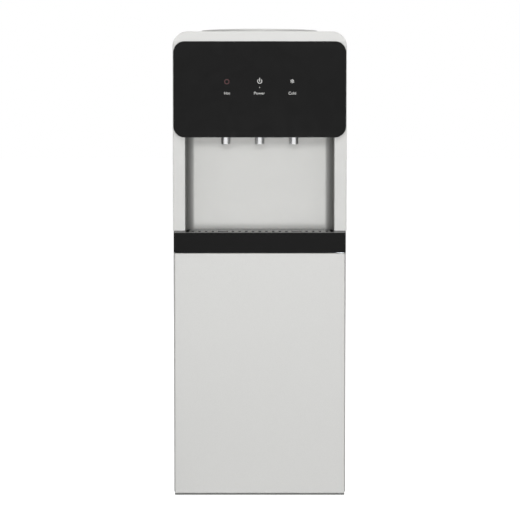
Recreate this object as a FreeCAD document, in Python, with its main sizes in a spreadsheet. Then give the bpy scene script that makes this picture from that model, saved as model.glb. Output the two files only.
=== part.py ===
import FreeCAD, Part
import Sketcher
import math
import os
import re

# Free-standing water cooler with the bottle in a bay behind the lower door.
# Millimetres. X to the right seen from the front, Y to the back, Z up.
# The origin is on the floor, under the middle of the cooler.

SIZES = {
    # casing
    "width": 387,
    "depth": 370,
    "cabinet_step": 0.5,
    "casing_top": 1044,
    "shoulder": 1005,
    "corner_round": 33,
    "slope_rise": 23,
    "slope_run": 14,
    "face_step": 5,
    "housing_depth": 17,
    "rear_reach": 20,
    "sheet_wall": 0.8,
    "moulding_wall": 2.5,
    "seam": 0.3,
    "panel_flange": 14,
    "bend_round": 3,
    "skirt_gap": 2,
    "pan_rise": 18,
    "pan_round": 6,
    "rear_edge_round": 4,
    "edge_round": 1.5,
    # feet
    "foot_height": 8,
    "foot_radius": 18,
    "foot_edge": 2,
    "foot_inset": 43,
    "foot_setback": 40,
    # alcove and drip tray
    "alcove_width": 332.5,
    "alcove_depth": 125,
    "alcove_top": 815,
    "alcove_round": 18,
    "shelf_top": 550,
    "tray_bottom": 552,
    "tray_top": 600,
    "tray_step": 1,
    "tray_depth": 16,
    "tray_bevel": 4,
    "tray_side_gap": 0.8,
    "tray_back_gap": 1,
    "tray_lip": 2.8,
    "tray_lift": 0.3,
    "grille_drop": 3,
    "grille_sheet": 2,
    "grille_rim": 2,
    "grille_side_rim": 6.5,
    "grille_ledge": 2.7,
    "basin_round": 12,
    "slot_pitch": 15.05,
    "slot_width": 6,
    "slot_length": 55,
    "slot_setback": 44.5,
    "slot_flat": 0.2,
    "side_slots": 4,
    "middle_slots": 9,
    "finger_slots": 2,
    "finger_width": 23.5,
    "seam_above_tray": 0.6,
    # control panel
    "panel_step": 1.5,
    "panel_bottom": 808.4,
    "panel_top": 1021.5,
    "panel_round": 25,
    "icon_pitch": 72.6,
    "icon_drop": 87.5,
    "window_width": 164,
    "window_height": 46,
    "board_wall": 1.6,
    "board_margin": 8,
    "board_standoff": 2,
    "spacer_radius": 2.7,
    "lamp_size": 5,
    "lamp_height": 4,
    # taps
    "tap_pitch": 76.5,
    "tap_setback": 60,
    "spout_radius": 10.3,
    "spout_bore": 7.5,
    "spout_bore_depth": 20,
    "spout_bottom": 792.5,
    "spout_shoulder": 826,
    "spout_edge": 0.8,
    "pivot_height": 838,
    "pivot_radius": 2,
    "pivot_gap": 0.05,
    "lug_width": 14,
    "lug_depth": 12,
    "lug_top": 6,
    "slot_front": 12,
    "slot_back": 16.5,
    "slot_half": 12,
    "tap_wall": 4,
    "tap_height": 50,
    "tap_cavity": 34.5,
    "bonnet_radius": 12,
    "bonnet_height": 8,
    "port_radius": 4,
    "port_length": 6,
    # well and cap
    "well_y": 12,
    "well_radius": 126,
    "collar_bottom": 1000,
    "cap_radius": 134,
    "cap_rise": 7,
    "cap_wall": 3,
    "cap_edge": 3,
    "skirt_gap_round": 4.5,
    "skirt_wall": 2.5,
    "skirt_drop": 14,
    # cold tank
    "deck_rise": 14,
    "deck_front": 81,
    "jacket_radius": 115,
    "jacket_floor": 15,
    "jacket_bore": 97,
    "jacket_rim_radius": 129,
    "jacket_rim": 15,
    "cold_radius": 90,
    "tank_wall": 1,
    "tank_lip": 98,
    "tank_round": 10,
    "sleeve_gap": 0.4,
    "sleeve_wall": 1.4,
    "sleeve_low": 12,
    "sleeve_height": 120,
    "channel_radius": 2.6,
    "channel_count": 7,
    "channel_pitch": 16,
    "lid_radius": 100,
    "lid_wall": 3,
    "lid_plug": 88,
    "lid_plug_depth": 8,
    # hot tank
    "hot_x": -112,
    "hot_y": 30,
    "hot_radius": 50,
    "hot_height": 137,
    "hot_round": 12,
    "hot_jacket_wall": 13.5,
    "hot_jacket_gap": 0.5,
    "hot_cover": 10,
    "hot_stand": 68,
    "hot_port": 32,
    "stand_half": 64,
    "stand_foot": 12,
    "stand_depth": 90,
    # compressor
    "comp_x": 95,
    "comp_y": 50,
    "comp_radius": 58,
    "comp_height": 134,
    "comp_round": 28,
    "comp_wall": 8,
    "comp_seam": 4,
    "comp_seam_height": 65,
    "comp_plate_x": 150,
    "comp_plate_y": 110,
    "comp_plate_wall": 3,
    "grommet_height": 8,
    "grommet_radius": 9,
    "grommet_inset": 14,
    # refrigerant lines
    "line_radius": 2.5,
    "line_inset": 62.2,
    "discharge_x": 110,
    "condenser_top": 590,
    "condenser_pitch": 50,
    "standoff_x": 80,
    "condenser_runs": 10,
    "condenser_inset": 43,
    "wire_radius": 0.75,
    "wire_count": 15,
    "wire_pitch": 20,
    "wire_gap": 0.05,
    "wire_over": 8,
    "drier_radius": 9,
    "drier_length": 90,
    "drier_low": 60,
    "drier_gap": 0.2,
    "thin_line_radius": 1.2,
    "return_radius": 4,
    "return_x": 60,
    "return_height": 600,
    "return_setback": 21.2,
    "return_bend": 10,
    "line_bend": 12,
    # bottle bay
    "bay_back": 140,
    "bottle_radius": 135,
    "bottle_gap": 0.5,
    "bottle_setback": 136.5,
    "guide_inset": 27.2,
    "guide_height": 21,
    "guide_dish": 3,
    "guide_wall": 3,
    "guide_back": 105,
    "wall_foot": 12,
    # pump, hoses and probe
    "hose_radius": 4.5,
    "hose_y": 116.5,
    "pump_gap": 5,
    "loop_gap": 1,
    "probe_inset": 26.2,
    "loop_low": 210,
    "loop_high": 533,
    "hose_bend": 27.5,
    "pump_head_radius": 22,
    "pump_head": 28,
    "pump_motor_radius": 17,
    "pump_motor": 44,
    "pump_flange_radius": 27,
    "probe_top": 500,
    "probe_bottom": 52,
    "probe_radius": 6,
    "probe_cap_radius": 23,
    "probe_cap_height": 22,
    "probe_neck": 8,
    "strainer_radius": 8,
    "strainer_height": 18,
    "clip_gap": 0.3,
    "clip_wall": 4,
    "clip_height": 20,
    "clip_mouth": 5,
    "probe_clip_z": 300,
    "hose_clip_z": 400,
    "hose_hole": 8,
    "tap_hose_z": 905,
    "tap_hose_bend": 15,
    "feed_x": -30,
    "feed_y": 70,
    "feed_run": 60,
    "stub_drop": 6,
    # drain
    "drain_height": 640,
    "drain_radius": 7.5,
    "drain_reach": 14,
    "drain_flange": 12,
    "drain_flange_wall": 2.5,
    "drain_nut": 9,
    "drain_cap_radius": 11,
    "drain_cap_gap": 0.1,
    "drain_cap_end": 3,
    # rear switches and inlet
    "switch_x": -65,
    "switch_z": 965,
    "switch_pitch": 34,
    "switch_plate_x": 80,
    "switch_plate_z": 44,
    "switch_body_z": 34,
    "switch_body_x": 70,
    "switch_body_depth": 15,
    "switch_face": 2,
    "rocker_width": 13.6,
    "rocker_half": 10,
    "rocker_reach": 8,
    "rocker_dish": 2,
    "rocker_edge": 6,
    "rocker_hub": 4,
    "rocker_taper": 0.5,
    "rocker_side_gap": 0.4,
    "rocker_end_gap": 1.8,
    "rocker_well": 12,
    "rocker_pivot": 5,
    "rocker_tilt": 10,
    "inlet_x": 80,
    "inlet_z": 60,
    "inlet_half_x": 24,
    "inlet_half_z": 14,
    "inlet_face": 3,
    "inlet_body_x": 14,
    "inlet_body_z": 10.5,
    "inlet_body_depth": 17,
    "inlet_socket_x": 12.2,
    "inlet_socket_z": 8.2,
    "inlet_socket_depth": 17,
    "inlet_pin_length": 12,
    "inlet_pin_spread": 7,
    "inlet_pin_drop": 1,
    "inlet_pin_rise": 2.5,
    "inlet_pin_x": 1,
    "inlet_pin_z": 2,
    # power board
    "power_inset": 14.2,
    "power_y": 75,
    "power_z": 910,
    "power_half_y": 50,
    "power_half_z": 55,
    "transformer_y": -20,
    "transformer_z": 25,
    "transformer_half_y": 16,
    "transformer_half_z": 14,
    "transformer_height": 24,
    "hot_relay_y": 25,
    "hot_relay_z": 28,
    "hot_relay_half_y": 9,
    "hot_relay_half_z": 12,
    "hot_relay_height": 16,
    "cold_relay_y": 25,
    "cold_relay_z": -5,
    "cold_relay_half_y": 9,
    "cold_relay_half_z": 12,
    "cold_relay_height": 16,
    "capacitor_y": -20,
    "capacitor_z": -20,
    "capacitor_half_y": 6,
    "capacitor_half_z": 6,
    "capacitor_height": 20,
    "terminals_y": 10,
    "terminals_z": -42,
    "terminals_half_y": 30,
    "terminals_half_z": 5,
    "terminals_height": 9,
    # vents and screws
    "vent_width": 46,
    "vent_height": 4,
    "vent_pitch": 11,
    "vent_count": 9,
    "vent_low": 655,
    "vent_x": 85,
    "screw_radius": 1.9,
    "screw_hole": 2.1,
    "screw_head": 4.2,
    "screw_head_height": 2,
    "screw_inset": 7,
    "screw_rows": 4,
    # door
    "door_step": 2.5,
    "door_bottom": 9.5,
    "door_top": 550.5,
    "door_edge": 16,
    "door_wall": 1.2,
    "door_round": 3,
    "door_front_round": 2.5,
    "hinge_side": 10.5,
    "hinge_inset": 7.5,
    "hinge_pin": 4,
    "hinge_pin_gap": 0.05,
    "hinge_hole": 5,
    "hinge_pin_length": 16,
    "hinge_leaf": 2.5,
    "hinge_leaf_half": 9,
    "hinge_leaf_drop": 0.8,
    "hinge_leaf_front": 4.3,
    "hinge_tail": 50,
    "hinge_upright": 34,
    "liner_wall": 3,
    "liner_inset": 0.3,
    "boss_half": 6,
    "boss_front": 5.2,
    "boss_height": 20,
    "liner_field": 1.5,
    "liner_rib": 10,
    "magnet_width": 40,
    "magnet_height": 12,
    "magnet_side": 60,
    "bumper_width": 6,
    "bumper_height": 20,
    "bumper_low": 60,
    "bumper_high": 480,
}

DOC = FreeCAD.newDocument("WaterCooler")
SHEET = DOC.addObject("Spreadsheet::Sheet", "Dims")
for row, (alias, number) in enumerate(SIZES.items(), start=1):
    SHEET.set(f"A{row}", str(number))
    SHEET.setAlias(f"A{row}", alias)
DOC.recompute()

NODES = []
TOUCH = 0.01
STILL = 1e-4
LEAST_CHANGE = 1e-6
PIPE_ERROR = 0.002
WORD = re.compile(r"[a-z][a-z_0-9]*")

# Places that several pieces share, each worked out from the sizes.
FRONT = "(-depth / 2)"
FACE = f"({FRONT} + face_step)"
SKIN = f"({FACE} + housing_depth)"
REAR = "(depth / 2 - rear_reach)"
REAR_INNER = f"({REAR} - sheet_wall)"
SIDE = "(width / 2 - cabinet_step)"
INSIDE = f"({SIDE} - sheet_wall)"
PAN_SIDE = f"({INSIDE} - seam)"
PAN_FRONT = f"({SKIN} + sheet_wall + seam)"
PAN_REAR = f"({REAR_INNER} - sheet_wall - seam)"
PAN_FLOOR = "(foot_height + sheet_wall)"
PANEL_FOOT = "(foot_height + skirt_gap)"
ALCOVE_SIDE = "(alcove_width / 2)"
ALCOVE_BACK = f"({FRONT} + alcove_depth)"
HOUSING_FOOT = "(tray_top + seam_above_tray)"
DECK = "(alcove_top + moulding_wall)"
DECK_TOP = f"({DECK} + sheet_wall)"
TAP_Y = f"({FRONT} + tap_setback)"
TAP_TOP = f"({DECK} + tap_height)"
PORT_TOP = f"({TAP_TOP} + bonnet_height + port_length)"
TANK_FLOOR = f"({DECK_TOP} + jacket_floor)"
STUB_END = f"({DECK} - stub_drop)"
HOT_FLOOR = "(shelf_top + hot_stand)"
HOT_BASE = f"({HOT_FLOOR} + hot_cover)"
HOT_TOP = f"({HOT_BASE} + hot_height)"
HOT_BORE = "(hot_radius + hot_jacket_gap)"
HOT_OUTER = f"({HOT_BORE} + hot_jacket_wall)"
FEED = ("feed_x", "feed_y")
HOT_FEED = ("(hot_x + hot_port)", "hot_y")
HOT_RISER = ("(hot_x - hot_port)", "hot_y")
RETURN_Y = f"({PAN_REAR} - return_setback)"
COMP_FLOOR = "(shelf_top + grommet_height)"
CONDENSER_Y = "(depth / 2 - 2 * wire_radius - wire_gap - line_radius)"
CONDENSER_LOW = "(condenser_top - (condenser_runs - 1) * condenser_pitch)"
DRIER_Y = f"({REAR_INNER} - sheet_wall - drier_radius - seam)"
PUMP_TOP = "(shelf_top + sheet_wall + pump_head + pump_motor)"
HINGE_Y = f"({FRONT} + hinge_inset)"
DOOR_BACK = f"({FRONT} + door_edge)"
DOOR_SIDE = f"({SIDE} - door_step)"
HINGE_X = f"({DOOR_SIDE} - hinge_side)"
MAGNET_X = f"(magnet_side - {DOOR_SIDE})"
TRAY_SIDE = f"({SIDE} - tray_step)"
PANEL_SIDE = "(width / 2 - panel_step)"
ICON_Z = "(panel_top - icon_drop)"
GUIDE_SIDE = f"({INSIDE} - guide_inset)"
PROBE_X = f"(probe_inset - {INSIDE})"
LOOP_X = f"({PROBE_X} + 2 * hose_bend + loop_gap)"
PUMP_X = f"({LOOP_X} + 2 * hose_bend + pump_gap)"
LINE_X = f"({INSIDE} - line_inset)"
POWER_X = f"({INSIDE} - power_inset)"
CONDENSER_SIDE = f"({SIDE} - condenser_inset)"
LINER_BACK = f"({DOOR_BACK} - liner_inset / 2)"
TRAY_BACK = f"({FRONT} + tray_depth)"
BASIN_FLOOR = "(shelf_top + moulding_wall + tray_lift)"
BASIN_TOP = "(tray_top - grille_drop)"
BASIN_SIDE = f"({ALCOVE_SIDE} - tray_side_gap)"
BASIN_BACK = f"({ALCOVE_BACK} - tray_back_gap)"
SEAT_SIDE = f"({BASIN_SIDE} - grille_side_rim)"
SEAT_BACK = f"({BASIN_BACK} - grille_rim)"
SEAT_FRONT = f"({FRONT} + tray_lip)"
SWITCH_PIVOT_Y = f"({REAR} - rocker_pivot)"


def bound(text):
    """Write the sheet's name before each alias of an expression."""
    return WORD.sub(lambda word: "Dims." + word[0] if word[0] in SIZES else word[0], text)


def value(text):
    """Number that an expression of the sheet gives now."""
    return float(SHEET.evalExpression(bound(text)))


def make_body(label, x="0", y="0", z="0"):
    """New body whose place is bound to the sheet."""
    body = DOC.addObject("PartDesign::Body", label)
    body.Label = label
    for axis, text in zip("xyz", (x, y, z)):
        body.setExpression(f"Placement.Base.{axis}", bound(text))
    NODES.append(body)
    return body


def make_sketch(body, role, offset):
    """Sketch on one of the body's own origin planes, moved along its normal."""
    sketch = body.newObject("Sketcher::SketchObject", body.Name + "_sketch")
    plane = next(item for item in body.Origin.OriginFeatures if item.Role == role)
    sketch.AttachmentSupport = [(plane, "")]
    sketch.MapMode = "FlatFace"
    sketch.setExpression("AttachmentOffset.Base.z", bound(offset))
    return sketch


def plan_sketch(body, z):
    """Sketch seen from above at height z; pads rise."""
    return make_sketch(body, "XY_Plane", z)


def front_sketch(body, y):
    """Sketch of X and Z at depth y; pads come forward."""
    return make_sketch(body, "XZ_Plane", f"-({y})")


def side_sketch(body, x):
    """Sketch of Y and Z at x; pads go to +X."""
    return make_sketch(body, "YZ_Plane", x)


def add_rules(sketch, rules):
    """Add constraints in one step, then bind those that carry an expression."""
    numbers = sketch.addConstraint([rule for rule, text in rules])
    for number, (rule, text) in zip(numbers, rules):
        if text is not None:
            sketch.setExpression(f"Constraints[{number}]", bound(text))


def point_rules(element, vertex, x, y):
    """Hold a point of a sketch at two expressions of the sheet."""
    return [(Sketcher.Constraint(kind, -1, 1, element, vertex, value(text)), text)
            for kind, text in (("DistanceX", x), ("DistanceY", y))]


def radius_rule(element, radius):
    """Hold an arc's or circle's radius at an expression."""
    return (Sketcher.Constraint("Radius", element, value(radius)), radius)


def draw_circle(sketch, x, y, radius):
    centre = FreeCAD.Vector(value(x), value(y), 0)
    normal = FreeCAD.Vector(0, 0, 1)
    circle = sketch.addGeometry(Part.Circle(centre, normal, value(radius)))
    add_rules(sketch, [radius_rule(circle, radius)] + point_rules(circle, 3, x, y))


def add_arc(sketch, centre, first, last):
    """Short arc between two points; also gives which of its ends is the first point."""
    spokes = (first - centre, last - centre)
    anticlockwise = spokes[0].cross(spokes[1]).z > 0
    angles = [math.atan2(spoke.y, spoke.x) for spoke in spokes]
    if not anticlockwise:
        angles.reverse()
    if angles[1] < angles[0]:
        angles[1] += 2 * math.pi
    circle = Part.Circle(centre, FreeCAD.Vector(0, 0, 1), spokes[0].Length)
    arc = sketch.addGeometry(Part.ArcOfCircle(circle, *angles))
    return arc, 1 if anticlockwise else 2


def draw_outline(sketch, corners):
    """Closed outline through corners (x, y) or (x, y, radius), all expressions."""
    points = [FreeCAD.Vector(value(c[0]), value(c[1]), 0) for c in corners]
    count = len(corners)
    arrive, leave, centres = [], [], []
    for i, corner in enumerate(corners):
        back = (points[i - 1] - points[i]).normalize()
        ahead = (points[(i + 1) % count] - points[i]).normalize()
        if len(corner) < 3:
            arrive.append(points[i])
            leave.append(points[i])
            centres.append(None)
            continue
        half = back.getAngle(ahead) / 2
        radius = value(corner[2])
        arrive.append(points[i] + back * (radius / math.tan(half)))
        leave.append(points[i] + ahead * (radius / math.tan(half)))
        bisector = (back + ahead).normalize()
        centres.append(points[i] + bisector * (radius / math.sin(half)))
    lines = []
    for i in range(count):
        segment = Part.LineSegment(leave[i], arrive[(i + 1) % count])
        lines.append(sketch.addGeometry(segment))
    rules = []
    for i, corner in enumerate(corners):
        before = lines[i - 1]
        after = lines[i]
        if centres[i] is None:
            rules.append((Sketcher.Constraint("Coincident", before, 2, after, 1), None))
            rules += point_rules(after, 1, corner[0], corner[1])
            continue
        arc, start = add_arc(sketch, centres[i], arrive[i], leave[i])
        apex = sketch.addGeometry(Part.Point(points[i]), True)
        rules += [
            (Sketcher.Constraint("Tangent", before, 2, arc, start), None),
            (Sketcher.Constraint("Tangent", arc, 3 - start, after, 1), None),
            (Sketcher.Constraint("PointOnObject", apex, 1, before), None),
            (Sketcher.Constraint("PointOnObject", apex, 1, after), None),
            radius_rule(arc, corner[2]),
        ]
        rules += point_rules(apex, 1, corner[0], corner[1])
    add_rules(sketch, rules)
    DOC.recompute()
    for line, place in zip(lines, leave):
        if (sketch.Geometry[line].StartPoint - place).Length > STILL:
            raise RuntimeError(f"{sketch.Name}: the outline moved off its corners")


def draw_box(sketch, low_x, high_x, low_y, high_y, radius=None):
    """Rectangle, with all four corners round where a radius is given."""
    extra = () if radius is None else (radius,)
    spots = ((low_x, low_y), (high_x, low_y), (high_x, high_y), (low_x, high_y))
    draw_outline(sketch, [spot + extra for spot in spots])


def check_change(body, volume, grows):
    """Stop if the last feature left the body's volume as it was."""
    DOC.recompute()
    change = body.Shape.Volume - volume
    if change * (1 if grows else -1) <= LEAST_CHANGE:
        raise RuntimeError(f"{body.Label}: a feature changed the volume by {change:.4f}")


def body_volume(body):
    DOC.recompute()
    return 0.0 if body.Shape.isNull() else body.Shape.Volume


def pad(body, sketch, length):
    volume = body_volume(body) if body.Tip not in (None, sketch) else 0.0
    feature = body.newObject("PartDesign::Pad", body.Name + "_pad")
    feature.Profile = sketch
    feature.setExpression("Length", bound(length))
    check_change(body, volume, True)
    return feature


def pocket(body, sketch, length=None, along=False):
    """Cut; along cuts towards the pad side, and no length cuts right through."""
    volume = body_volume(body)
    feature = body.newObject("PartDesign::Pocket", body.Name + "_pocket")
    feature.Profile = sketch
    if length is None:
        feature.Type = "ThroughAll"
        feature.Midplane = True
    else:
        feature.setExpression("Length", bound(length))
        feature.Reversed = along
    check_change(body, volume, False)
    return feature


def spin(body, corners):
    """Solid of revolution about the body's own upright axis."""
    sketch = front_sketch(body, "0")
    draw_outline(sketch, corners)
    feature = body.newObject("PartDesign::Revolution", body.Name + "_revolution")
    feature.Profile = sketch
    feature.ReferenceAxis = (sketch, ["V_Axis"])
    feature.Angle = 360
    DOC.recompute()
    return feature


def spread(body, feature, axis, length, count):
    """Row of equal features along an axis of the feature's sketch."""
    volume = body_volume(body)
    grows = "Pocket" not in feature.TypeId
    row = body.newObject("PartDesign::LinearPattern", body.Name + "_row")
    row.Originals = [feature]
    row.Direction = (feature.Profile[0], [axis])
    row.setExpression("Length", bound(length))
    row.setExpression("Occurrences", bound(count))
    body.Tip = row
    check_change(body, volume, grows)
    return row


def round_edges(body, radius, chosen, kind="PartDesign::Fillet"):
    """Round or bevel the edges of the body for which chosen(edge) is true."""
    DOC.recompute()
    base = body.Tip
    names = [f"Edge{i}" for i, edge in enumerate(base.Shape.Edges, start=1) if chosen(edge)]
    if not names:
        raise RuntimeError(f"{body.Label}: no edge to round")
    feature = body.newObject(kind, body.Name + "_edges")
    feature.Base = (base, names)
    size = "Radius" if kind == "PartDesign::Fillet" else "Size"
    feature.setExpression(size, bound(radius))
    DOC.recompute()
    if "Invalid" in feature.State or abs(body.Shape.Volume - base.Shape.Volume) < LEAST_CHANGE:
        raise RuntimeError(f"{body.Label}: the edges were not rounded")
    return feature


def lies_at(**wanted):
    """Chooser of edges whose whole box lies at the wanted coordinates."""
    targets = {axis: [value(text) for text in places] for axis, places in wanted.items()}

    def chosen(edge):
        box = edge.BoundBox
        spans = {
            "x": (box.XMin, box.XMax),
            "y": (box.YMin, box.YMax),
            "z": (box.ZMin, box.ZMax),
        }
        for axis, places in targets.items():
            low, high = spans[axis]
            if not any(abs(low - p) < TOUCH and abs(high - p) < TOUCH for p in places):
                return False
        return True

    return chosen


def mirror_body(label, source):
    """Twin of a body across the middle plane."""
    twin = DOC.addObject("Part::Mirroring", label)
    twin.Label = label
    twin.Source = source
    twin.Normal = FreeCAD.Vector(1, 0, 0)
    NODES.append(twin)


def make_group(label, members):
    """One node of several equal, separate solids."""
    group = DOC.addObject("Part::Compound", label)
    group.Label = label
    group.Links = members
    for member in members:
        if member in NODES:
            NODES.remove(member)
    NODES.append(group)


def make_rod(name, x, y, z, radius, length, axis=(0, 0, 1)):
    """Plain cylinder from a point, along an axis."""
    rod = DOC.addObject("Part::Cylinder", name)
    turn = FreeCAD.Rotation(FreeCAD.Vector(0, 0, 1), FreeCAD.Vector(*axis))
    rod.Placement = FreeCAD.Placement(FreeCAD.Vector(), turn)
    for letter, text in zip("xyz", (x, y, z)):
        rod.setExpression(f"Placement.Base.{letter}", bound(text))
    rod.setExpression("Radius", bound(radius))
    rod.setExpression("Height", bound(length))
    return rod


def tube_solid(label, route, radius, bend):
    """Round tube along straight runs joined by tangent arcs."""
    points = [FreeCAD.Vector(*[value(text) for text in point]) for point in route]
    bend = value(bend)
    edges = []
    start = points[0]
    for before, corner, after in zip(points, points[1:], points[2:]):
        back = (before - corner).normalize()
        ahead = (after - corner).normalize()
        half = back.getAngle(ahead) / 2
        reach = bend / math.tan(half)
        middle = corner + (back + ahead).normalize() * (bend / math.sin(half) - bend)
        edges.append(Part.LineSegment(start, corner + back * reach).toShape())
        edges.append(Part.Arc(corner + back * reach, middle, corner + ahead * reach).toShape())
        start = corner + ahead * reach
    edges.append(Part.LineSegment(start, points[-1]).toShape())
    path = Part.Wire(edges)
    ring = Part.Circle(points[0], points[1] - points[0], value(radius)).toShape()
    solid = path.makePipeShell([Part.Wire([ring])], True, False)
    if solid.Volume < 0:
        solid.reverse()
    expected = math.pi * value(radius) ** 2 * path.Length
    if abs(solid.Volume - expected) > PIPE_ERROR * expected:
        raise RuntimeError(f"{label}: volume {solid.Volume:.1f}, expected {expected:.1f}")
    print(f"{label}: {path.Length:.0f} mm long, bend radius {bend:.1f} mm")
    return solid


def make_tubes(label, tubes):
    """One node of tubes, each given as (route, radius, bend radius)."""
    solids = [tube_solid(label, *tube) for tube in tubes]
    node = DOC.addObject("Part::Feature", label)
    node.Shape = solids[0] if len(solids) == 1 else Part.makeCompound(solids)
    node.Placement = FreeCAD.Placement()
    NODES.append(node)


# ---- cabinet of folded sheet ----

def make_feet():
    """Four rubber feet under the base pan."""
    feet = []
    corners = (
        (f"-({SIDE} - foot_inset)", f"{SKIN} + foot_setback"),
        (f"({SIDE} - foot_inset)", f"{SKIN} + foot_setback"),
        (f"-({SIDE} - foot_inset)", f"{REAR} - foot_setback"),
        (f"({SIDE} - foot_inset)", f"{REAR} - foot_setback"),
    )
    for i, (x, y) in enumerate(corners):
        foot = make_body(f"foot_{i}", x, y)
        feet.append(foot)
        spin(foot, [
            ("0", "0"),
            ("foot_radius - foot_edge", "0"),
            ("foot_radius", "foot_height"),
            ("0", "foot_height"),
        ])
    make_group("rubber_feet", feet)


def make_pan(label, low, rim_up):
    """Folded sheet pan between the side panels, with its rim up or down."""
    pan = make_body(label)
    sketch = plan_sketch(pan, low)
    draw_box(sketch, f"-{PAN_SIDE}", PAN_SIDE, PAN_FRONT, PAN_REAR, "pan_round")
    pad(pan, sketch, "pan_rise")
    hollow = plan_sketch(pan, f"{low} + pan_rise" if rim_up else low)
    inner = f"({PAN_SIDE} - sheet_wall)"
    draw_box(hollow, f"-{inner}", inner, f"{PAN_FRONT} + sheet_wall",
             f"{PAN_REAR} - sheet_wall", "pan_round - sheet_wall")
    pocket(pan, hollow, "pan_rise - sheet_wall", along=not rim_up)
    return pan


def make_shelf():
    """Ceiling of the bottle bay, which carries the pump and the compressor."""
    shelf = make_pan("machine_shelf", "shelf_top - pan_rise", rim_up=False)
    holes = plan_sketch(shelf, "shelf_top")
    draw_circle(holes, PUMP_X, "hose_y", "hose_hole")
    draw_circle(holes, LINE_X, DRIER_Y, "return_radius")
    pocket(shelf, holes, "2 * sheet_wall")


def make_side_panels():
    """Side sheets with flanges turned in at the front and the rear."""
    panel = make_body("side_panel_left")
    sketch = plan_sketch(panel, PANEL_FOOT)
    draw_outline(sketch, [
        (f"-{SIDE}", SKIN, "bend_round"),
        (f"panel_flange - {SIDE}", SKIN),
        (f"panel_flange - {SIDE}", f"{SKIN} + sheet_wall"),
        (f"-{INSIDE}", f"{SKIN} + sheet_wall", "bend_round - sheet_wall"),
        (f"-{INSIDE}", f"{REAR_INNER} - sheet_wall", "bend_round - sheet_wall"),
        (f"panel_flange - {SIDE}", f"{REAR_INNER} - sheet_wall"),
        (f"panel_flange - {SIDE}", REAR_INNER),
        (f"-{SIDE}", REAR_INNER, "bend_round"),
    ])
    pad(panel, sketch, f"shoulder - {PANEL_FOOT}")
    mirror_body("side_panel_right", panel)


def make_rear_panel():
    """Screwed-on rear sheet with vents and the cut-outs for what passes through."""
    panel = make_body("rear_panel")
    sketch = front_sketch(panel, REAR)
    edge = f"({SIDE} - 2 * seam)"
    draw_box(sketch, f"-{edge}", edge, PANEL_FOOT, "shoulder - seam")
    pad(panel, sketch, "sheet_wall")
    for sign in ("-", ""):
        vent = front_sketch(panel, REAR)
        middle = f"({sign}vent_x)"
        draw_box(vent, f"{middle} - vent_width / 2", f"{middle} + vent_width / 2",
                 "vent_low", "vent_low + vent_height", "(vent_height - slot_flat) / 2")
        cut = pocket(panel, vent, "sheet_wall", along=True)
        spread(panel, cut, "V_Axis", "(vent_count - 1) * vent_pitch", "vent_count")
    holes = front_sketch(panel, REAR)
    draw_box(holes, "switch_x - switch_body_x / 2 - seam", "switch_x + switch_body_x / 2 + seam",
             "switch_z - switch_body_z / 2 - seam", "switch_z + switch_body_z / 2 + seam")
    draw_box(holes, "inlet_x - inlet_body_x - seam", "inlet_x + inlet_body_x + seam",
             "inlet_z - inlet_body_z - seam", "inlet_z + inlet_body_z + seam")
    draw_circle(holes, "hot_x", "drain_height", "drain_radius + seam")
    draw_circle(holes, "discharge_x", "condenser_top", "line_radius + seam")
    draw_circle(holes, LINE_X, CONDENSER_LOW, "line_radius + seam")
    for x, z in screw_places():
        draw_circle(holes, x, z, "screw_hole")
    pocket(panel, holes, "sheet_wall", along=True)


def screw_places():
    """Screw centres along both edges of the rear panel."""
    low = f"({PANEL_FOOT} + 2 * panel_flange)"
    high = "(shoulder - 2 * panel_flange)"
    steps = int(value("screw_rows")) - 1
    heights = [f"({low} + ({high} - {low}) * {step} / {steps})" for step in range(steps + 1)]
    return [(f"({sign}({SIDE} - screw_inset))", z) for sign in ("-", "") for z in heights]


def make_rear_screws():
    """Pan-head screws of the rear panel, one group."""
    screws = make_body("rear_screws")
    shanks = front_sketch(screws, REAR)
    for x, z in screw_places():
        draw_circle(shanks, x, z, "screw_radius")
    pad(screws, shanks, "sheet_wall")
    heads = front_sketch(screws, f"{REAR} + screw_head_height")
    for x, z in screw_places():
        draw_circle(heads, x, z, "screw_head")
    pad(screws, heads, "screw_head_height")


def make_bay_wall():
    """Rear wall of the bottle bay, with a foot turned back on the base pan."""
    wall = make_body("bay_back_wall")
    edge = f"({PAN_SIDE} - sheet_wall - seam)"
    sketch = side_sketch(wall, f"-{edge}")
    draw_outline(sketch, [
        ("bay_back", PAN_FLOOR),
        ("bay_back + wall_foot", PAN_FLOOR),
        ("bay_back + wall_foot", f"{PAN_FLOOR} + sheet_wall"),
        ("bay_back + sheet_wall", f"{PAN_FLOOR} + sheet_wall"),
        ("bay_back + sheet_wall", "shelf_top - sheet_wall"),
        ("bay_back", "shelf_top - sheet_wall"),
    ])
    pad(wall, sketch, f"2 * {edge}")


def make_bottle_guide():
    """Moulded floor with a round dish that centres the bottle."""
    guide = make_body("bottle_guide")
    front = f"({PAN_FRONT} + sheet_wall + seam)"
    sketch = plan_sketch(guide, PAN_FLOOR)
    draw_box(sketch, f"-{GUIDE_SIDE}", GUIDE_SIDE, front, "guide_back", "pan_round")
    pad(guide, sketch, "guide_height")
    under = plan_sketch(guide, PAN_FLOOR)
    draw_box(under, f"guide_wall - {GUIDE_SIDE}", f"{GUIDE_SIDE} - guide_wall",
             f"{front} + guide_wall", "guide_back - guide_wall", "pan_round - guide_wall / 2")
    pocket(guide, under, "guide_height - guide_dish - guide_wall", along=True)
    dish = plan_sketch(guide, f"{PAN_FLOOR} + guide_height")
    draw_circle(dish, "0", f"{SKIN} + bottle_setback + guide_wall", "bottle_radius + bottle_gap")
    pocket(guide, dish, "guide_dish")


# ---- moulded head ----

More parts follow.
